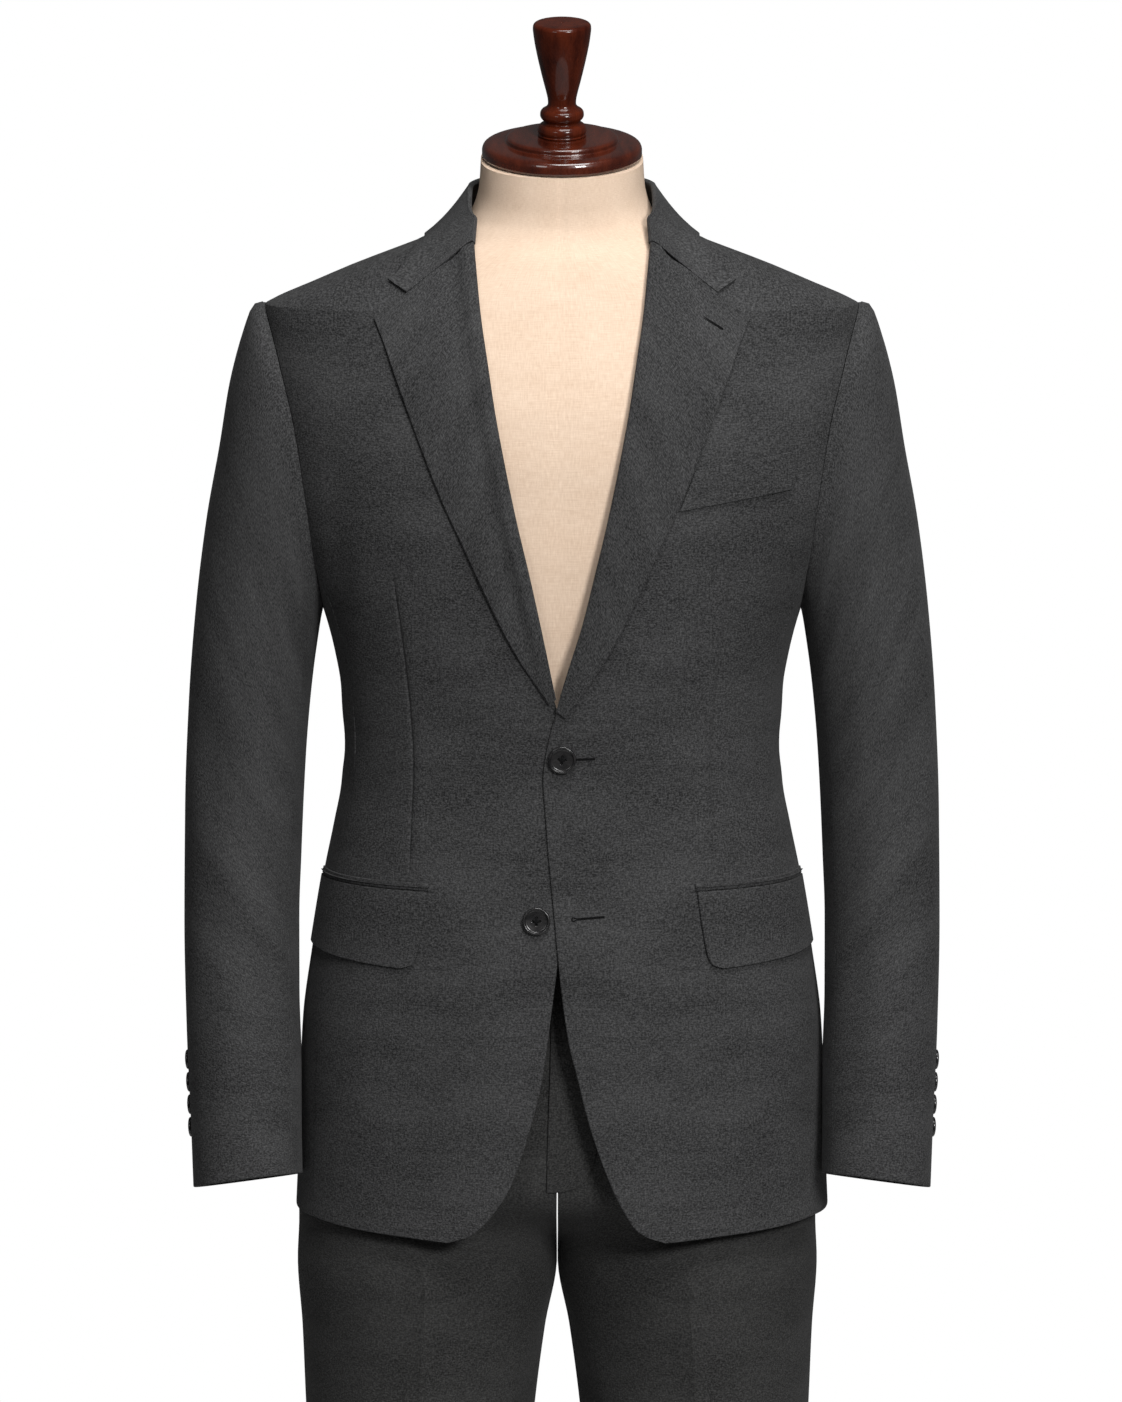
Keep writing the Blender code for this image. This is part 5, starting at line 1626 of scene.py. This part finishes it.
@dataclass
class Buttons:
    """Four-hole horn buttons, their threads, and the worked buttonholes.

    The profile holds radius and height as shares of the button's radius.
    """

    horn: bpy.types.Material
    thread: bpy.types.Material
    sleeves: Sleeves
    front_radius: float = 0.0105
    cuff_radius: float = 0.0076
    gap: float = 0.0001
    top: tuple[float, float] = (0.0, 1.2400)
    lower: tuple[float, float] = (0.0190, 1.1190)
    cuff_heights: tuple[float, ...] = (0.9974, 0.9807, 0.9640, 0.9473)
    cuff_turn: float = math.radians(-14.0)
    cuff_spin: float = 0.3
    cuff_rings: tuple[float, float] = (8.0, 13.0)
    profile: Rows = (
        (0.86, 0.00), (0.95, 0.03), (0.99, 0.10), (1.00, 0.18), (0.985, 0.27), (0.95, 0.325),
        (0.90, 0.345), (0.85, 0.335), (0.81, 0.29), (0.78, 0.235), (0.72, 0.205), (0.62, 0.19),
        (0.48, 0.17), (0.34, 0.16), (0.20, 0.155), (0.06, 0.155),
    )
    hole_place: float = 0.17
    hole_radius: float = 0.085
    hole_depth: float = 0.11
    segments: int = 72
    thread_radius: float = 0.045
    thread_sides: int = 8
    slit_half: float = 0.00045
    stitch_radius: float = 0.00042
    stitch_pitch: float = 0.00065
    stitch_lift: float = 0.0002

    def dish(self, scale: float) -> tuple[np.ndarray, list]:
        """A button's points and faces about Z, with four sunk holes."""
        line = outline(self.profile)(np.linspace(0, 1, 64))
        points, faces = lathe(line * scale, self.segments)
        place = self.hole_place * scale
        for x, y in ((place, place), (-place, place), (place, -place), (-place, -place)):
            away = np.hypot(points[:, 0] - x, points[:, 1] - y) / (self.hole_radius * scale)
            upper = points[:, 2] > 0.12 * scale
            sunk = self.hole_depth * scale * smoothstep((1.25 - away) / 0.5)
            points[:, 2] -= np.where(upper, sunk, 0.0)
        return points, faces

    def stitches(self, scale: float) -> tuple[np.ndarray, list]:
        """Two crossed bars of thread between the holes."""
        points, faces = [], []
        place, thick = self.hole_place * scale, self.thread_radius * scale
        along = np.linspace(-1, 1, 13)
        turns = np.arange(self.thread_sides) * 2 * math.pi / self.thread_sides
        for turn in (math.pi / 4, -math.pi / 4):
            for offset in (-0.7, 0.7):
                base = len(points)
                for t in along:
                    height = scale * (0.045 + 0.155 * math.sqrt(max(1 - t ** 4, 0.0)))
                    for spin in turns:
                        a = t * place * 1.42
                        b = offset * thick + thick * math.cos(spin)
                        points.append((
                            a * math.cos(turn) - b * math.sin(turn),
                            a * math.sin(turn) + b * math.cos(turn),
                            height + thick * math.sin(spin),
                        ))
                faces += ring_faces(len(along), self.thread_sides, base)
        return np.array(points), faces

    def sew(self, node: str, radius: float, point: np.ndarray, normal: np.ndarray, spin: float) -> None:
        """One button with its thread, its back on a point and facing along a normal."""
        points, faces = self.dish(radius)
        points = placed(points, point, normal, spin)
        mesh_piece(f"{node}_dish", points, faces, self.horn, node, 40.0)
        points, faces = self.stitches(radius)
        mesh_piece(f"{node}_thread", placed(points, point, normal, spin), faces, self.thread)

    def cuffs(self, side: Side) -> None:
        """The four buttons at one cuff."""
        mirror = np.array([side.value, 1.0, 1.0])
        step = 1e-4
        for number, height in enumerate(self.cuff_heights, 1):
            places = np.linspace(*self.cuff_rings, 4000)
            heights = self.sleeves.point(np.full_like(places, self.cuff_turn), places)[:, 2]
            place = float(places[np.argmin(np.abs(heights - height))])
            point = self.sleeves.point(self.cuff_turn, place)
            along = self.sleeves.point(self.cuff_turn, place + step) - point
            across = self.sleeves.point(self.cuff_turn + step, place) - point
            normal = np.cross(across, along)
            normal /= np.linalg.norm(normal)
            folds = self.sleeves.folds(np.array([self.cuff_turn]), np.array([place]))
            lift = max(float(folds[0]), 0.0) + self.gap
            seat = (point + normal * lift) * mirror
            node = f"cuff_button_{side.label}_{number}"
            self.sew(node, self.cuff_radius, seat, normal * mirror, self.cuff_spin * number)

    def buttonhole(
        self, name: str, start: tuple[float, float], end: tuple[float, float], lift: float, eye: float,
    ) -> None:
        """A worked buttonhole: close stitches round a slit, with a round eye at its front end.

        Args:
            name: the piece's name.
            start: distance from the centre and height of its eye's middle.
            end: distance and height of its far end.
            lift: how far the stitches' middle stands off the front.
            eye: the eye's radius.
        """
        a, b = np.array(start), np.array(end)
        long = float(np.linalg.norm(b - a))
        way = (b - a) / long
        square = np.array([-way[1], way[0]])
        half = self.slit_half
        loop = [(t * long, half * (1 - 0.12 * t)) for t in np.linspace(0.12, 1, 60)]
        bends = np.linspace(0.2, math.pi - 0.2, 10)
        loop += [(long + half * 0.6 * math.sin(s), half * math.cos(s)) for s in bends]
        loop += [(t * long, -half * (1 - 0.12 * t)) for t in np.linspace(1, 0.12, 60)]
        bends = np.linspace(-2.4, 2.4, 26)[::-1]
        loop += [(-math.cos(s) * eye, -eye * 1.1 * math.sin(s)) for s in bends]
        loop = np.array(loop)
        closed = np.vstack([loop, loop[:1]])
        total = along_line(closed)
        at = np.linspace(0, total[-1], 420, endpoint=False)
        line = np.stack([np.interp(at, total, closed[:, k]) for k in (0, 1)], axis=1)
        place = a + line[:, 0:1] * way + line[:, 1:2] * square
        way_round = np.roll(line, -1, axis=0) - np.roll(line, 1, axis=0)
        way_round /= np.maximum(np.linalg.norm(way_round, axis=1, keepdims=True), 1e-9)
        aside = np.stack([way_round[:, 1], -way_round[:, 0]], axis=1)
        sides = aside[:, 0:1] * way + aside[:, 1:2] * square
        stitch = self.stitch_radius * (1 + 0.22 * np.sin(at * 2 * math.pi / self.stitch_pitch))
        turns = np.arange(self.thread_sides) * 2 * math.pi / self.thread_sides
        points = []
        for spot, sideways, thick in zip(place, sides, stitch):
            for turn in turns:
                x, z = spot + sideways * thick * math.cos(turn)
                points.append(on_front(x, z, lift + 0.62 * thick * math.sin(turn)))
        faces = ring_faces(len(at), self.thread_sides, joined=True)
        # The stitches nearly close the slit; their near-black thread is partly painted shade standing in for
        # the slit's dark opening.
        mesh_piece(name, np.array(points), faces, self.thread)

    def build(self) -> None:
        """Sews on every button and works the buttonholes."""
        normal = front_direction(*self.top)
        lift = float(overlap_lift(np.array(self.top[0]), Side.LEFT))
        seat = on_front(*self.top, lift + self.gap)
        self.sew("button_top", self.front_radius, seat, normal, math.radians(38))
        normal = front_direction(*self.lower) * MIRROR
        seat = on_front(*self.lower, self.gap) * MIRROR
        self.sew("button_lower", self.front_radius, seat, normal, math.radians(45))
        for side in Side:
            self.cuffs(side)
        lift += self.stitch_lift
        self.buttonhole("top_buttonhole", (0.0060, 1.2400), (0.0238, 1.2405), lift, 0.0011)
        lift = self.stitch_lift + float(overlap_lift(np.array(0.02), Side.LEFT))
        self.buttonhole("lower_buttonhole", (0.0085, 1.1205), (0.0310, 1.1222), lift, 0.0012)
        lift = LAPEL_OUT + self.gap
        self.buttonhole("lapel_buttonhole", (0.1009, 1.5678), (0.1181, 1.5574), lift, 0.0004)


@dataclass
class DressForm:
    """The linen-covered torso with its turned cap and finial, and the steel stand.

    The turned profiles hold radius and height.
    """

    linen: bpy.types.Material
    cap_wood: bpy.types.Material
    finial_wood: bpy.types.Material
    base_steel: bpy.types.Material
    pole_steel: bpy.types.Material
    tilt: float = math.radians(11.2)
    tilt_from: float = 1.600
    neck_top: float = 1.6786
    rest_gap: float = 0.0003
    cap: Rows = (
        (0.0560, 0.0000), (0.0590, 0.0008), (0.0600, 0.0030), (0.0600, 0.0062), (0.0592, 0.0090),
        (0.0570, 0.0108), (0.0520, 0.0116), (0.0436, 0.0120), (0.0424, 0.0122), (0.0420, 0.0130),
        (0.0420, 0.0146), (0.0412, 0.0160), (0.0390, 0.0167), (0.0300, 0.0169), (0.0150, 0.0169),
    )
    cap_high: float = 0.0168
    finial: Rows = (
        (0.0178, 0.0000), (0.0182, 0.0006), (0.0180, 0.0014), (0.0176, 0.0018), (0.0180, 0.0024),
        (0.0184, 0.0042), (0.0180, 0.0064), (0.0166, 0.0084), (0.0146, 0.0097), (0.0138, 0.0107),
        (0.0142, 0.0119), (0.0156, 0.0134), (0.0164, 0.0154), (0.0163, 0.0176), (0.0152, 0.0197),
        (0.0128, 0.0213), (0.0112, 0.0228), (0.0105, 0.0248), (0.0107, 0.0280), (0.0120, 0.0340),
        (0.0143, 0.0430), (0.0167, 0.0530), (0.0189, 0.0630), (0.0206, 0.0720), (0.0215, 0.0785),
        (0.0218, 0.0815), (0.0217, 0.0838), (0.0210, 0.0854), (0.0196, 0.0863), (0.0178, 0.0866),
        (0.0100, 0.0867), (0.0014, 0.0867), (0.0010, 0.0861), (0.0009, 0.0850),
    )
    segments: int = 256
    mean_radius: float = 0.15
    seam_width: float = 0.0011
    seam_depth: float = 0.0006
    pole_middle: float = 0.45
    base_radius: float = 0.180
    base_high: float = 0.0070
    pole_radius: float = 0.0125
    pole_x: float = 0.112

    def torso(self) -> None:
        """The covered torso, with seams down its centres and its sides."""
        foot = TORSO.rows[0][0]
        z = np.concatenate([np.linspace(foot, 1.56, 90), np.linspace(1.563, self.neck_top, 60)])
        turns = 2 * math.pi * np.arange(self.segments) / self.segments
        turn, height = np.meshgrid(turns, z)
        grid = TORSO.point(turn, height)
        rise = (height - self.tilt_from) / (self.neck_top - self.tilt_from)
        seams = np.zeros_like(turn)
        for line in (-math.pi / 2, math.pi / 2, 0.0, math.pi):
            off = (np.mod(turn - line + math.pi, 2 * math.pi) - math.pi) * 0.10
            seams = seams + bell(off, self.seam_width)
        away = directions(grid, closed=True)
        grid = grid - self.seam_depth * seams[..., None] * away
        grid[..., 2] += math.tan(self.tilt) * smoothstep(rise) * grid[..., 1]
        faces = capped(len(z), self.segments)
        piece = mesh_piece("form_cover", grid.reshape(-1, 3), faces, self.linen, "form_torso")
        girth = np.minimum(turn, 2 * math.pi - turn) * self.mean_radius
        lay_cut(piece, np.stack([girth, height], axis=-1).reshape(-1, 2))

    def turned_wood(
        self, name: str, node: str, rows: Rows, many: int, wood: bpy.types.Material, lift: float,
    ) -> None:
        """A turned piece of wood on the neck's axis.

        Args:
            name: the piece's name.
            node: the CAD node that it stands for.
            rows: radius and height up its profile.
            many: points along the profile.
            wood: the finish.
            lift: how far above the neck its foot is.
        """
        axis = np.array([0.0, -math.sin(self.tilt), math.cos(self.tilt)])
        last = TORSO.rows[-1]
        middle = (last[3] - last[2]) / 2
        seat = np.array([0.0, middle, self.neck_top + math.tan(self.tilt) * middle]) + axis * lift
        points, faces = lathe(outline(rows)(np.linspace(0, 1, many)), 96)
        mesh_piece(name, placed(points, seat, axis), faces, wood, node, CRISP)

    def stand(self) -> None:
        """The round base and the pole up into the torso."""
        high, wide = self.base_high, self.base_radius
        rows = (
            (wide - 0.0012, 0.0), (wide, 0.0008), (wide, 0.0046), (wide - 0.0006, 0.0060),
            (wide - 0.0024, high - 0.0002), (wide - 0.0060, high), (0.060, high), (0.010, high),
        )
        points, faces = lathe(outline(rows)(np.linspace(0, 1, 90)), 160)
        mesh_piece("stand_base", points, faces, self.base_steel, "base", CRISP)
        foot, head = high + self.rest_gap, TORSO.rows[0][0] - self.rest_gap
        wide = self.pole_radius
        rows = (
            (wide - 0.0004, foot), (wide, foot + 0.0006), (wide, foot + 0.010), (wide, self.pole_middle),
            (wide, head - 0.010), (wide, head - 0.0006), (wide - 0.0004, head),
        )
        points, faces = lathe(np.array(rows), 64)
        points = points + np.array([self.pole_x, 0.0, 0.0])
        mesh_piece("stand_pole", points, faces, self.pole_steel, "pole", CRISP)

    def build(self) -> None:
        """Builds the form and its stand."""
        self.torso()
        gap = self.rest_gap
        self.turned_wood("turned_cap", "neck_cap", self.cap, 110, self.cap_wood, gap)
        lift = self.cap_high + 2 * gap
        self.turned_wood("turned_finial", "finial", self.finial, 150, self.finial_wood, lift)
        self.stand()


@dataclass
class Studio:
    """Camera, lights and a pale floor."""

    eye: tuple[float, float, float] = (-0.00075, -5.9945, 2.0893)
    aim: tuple[float, float, float] = (-0.00075, -0.05, 1.275)
    lens: float = 205.4
    sensor: float = 36.0
    sight: float = 60.0
    lamp_aim: tuple[float, float, float] = (0.0, 0.0, 1.25)
    glow: float = 0.07
    floor_rows: Rows = ((1.6, -0.0005), (1.6, -0.0003), (0.8, -0.0001), (0.2, -0.0001))

    @staticmethod
    def turned(place: tuple[float, float, float], aim: tuple[float, float, float]) -> Euler:
        """The turn of a camera or lamp at a place that looks at another."""
        return (Vector(aim) - Vector(place)).to_track_quat("-Z", "Y").to_euler()

    def camera(self) -> None:
        """The view of the photograph."""
        data = bpy.data.cameras.new("front_view")
        data.lens = self.lens
        data.sensor_width = self.sensor
        data.sensor_fit = "AUTO"
        data.clip_end = self.sight
        camera = link("front_view", data)
        camera.location = self.eye
        camera.rotation_euler = self.turned(self.eye, self.aim)
        bpy.context.scene.camera = camera

    def softbox(
        self, name: str, place: tuple[float, float, float], size: tuple[float, float], power: float,
    ) -> None:
        """A large soft lamp that faces the jacket."""
        data = bpy.data.lights.new(name, "AREA")
        data.shape = "RECTANGLE"
        data.size, data.size_y = size
        data.energy = power
        lamp = link(name, data)
        lamp.location = place
        lamp.rotation_euler = self.turned(place, self.lamp_aim)

    def world(self) -> None:
        """A plain white surround, dimmer as a light than it looks."""
        world = bpy.data.worlds.new("white_surround")
        shade = Shade(world)
        white = (1.0, 1.0, 1.0, 1.0)
        glow = shade.node("ShaderNodeBackground", None, {"Color": white, "Strength": self.glow})
        seen = shade.node("ShaderNodeBackground", None, {"Color": white, "Strength": 1.0})
        direct = shade.node("ShaderNodeLightPath", output="Is Camera Ray")
        mix = shade.node("ShaderNodeMixShader", None, {0: direct, 1: glow, 2: seen})
        shade.end("ShaderNodeOutputWorld", mix)
        bpy.context.scene.world = world
        bpy.context.scene.view_settings.view_transform = "Standard"

    def floor(self, material: bpy.types.Material) -> None:
        """A round pale floor under the stand."""
        points, faces = lathe(np.array(self.floor_rows), 96)
        mesh = bpy.data.meshes.new("floor")
        mesh.from_pydata(points.tolist(), [], [list(face) for face in faces])
        mesh.materials.append(material)
        floor = link("floor", mesh)

    def build(self) -> None:
        """Sets up the view."""
        self.camera()
        self.world()
        self.floor(PaintedFloor().material())
        self.softbox("key_left", (-2.2, -4.0, 3.2), (1.2, 1.2), 22.0)
        self.softbox("key_right", (2.1, -4.3, 3.3), (1.2, 1.2), 185.0)
        self.softbox("top", (0.4, -1.2, 4.0), (1.6, 1.2), 70.0)


def main() -> None:
    """Builds the studio, the form and the suit in order."""
    logging.basicConfig(level=logging.INFO, format="%(message)s")
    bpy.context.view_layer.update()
    Studio().build()
    cloth = Worsted("charcoal_worsted", (0.0080, 0.0080, 0.0083), (0.080, 0.080, 0.081)).material()
    leg_cloth = Worsted("trouser_charcoal", (0.0085, 0.0085, 0.0083), (0.0585, 0.058, 0.057)).material()
    # The buttonhole silk is partly real dark thread and partly painted shade for the buttonhole slits.
    thread = Thread("buttonhole_silk").material()
    dress_form = DressForm(
        linen=Linen().material(),
        cap_wood=Mahogany("cap_mahogany", (95.0, 16.0, 60.0), 1.0).material(),
        finial_wood=Mahogany("finial_mahogany", (120.0, 120.0, 16.0), 0.42).material(),
        base_steel=BrushedSteel("base_steel", (12.0, 900.0, 400.0)).material(),
        pole_steel=BrushedSteel("pole_steel", (20.0, 20.0, 2400.0)).material(),
    )
    dress_form.build()
    sleeves = Sleeves(cloth)
    JacketBody(cloth).build()
    LapelsAndCollar(cloth).build()
    Pockets(cloth).build()
    sleeves.build()
    Trousers(leg_cloth).build()
    Buttons(Horn().material(), thread, sleeves).build()
    bpy.context.view_layer.update()


if __name__ == "__main__":
    main()
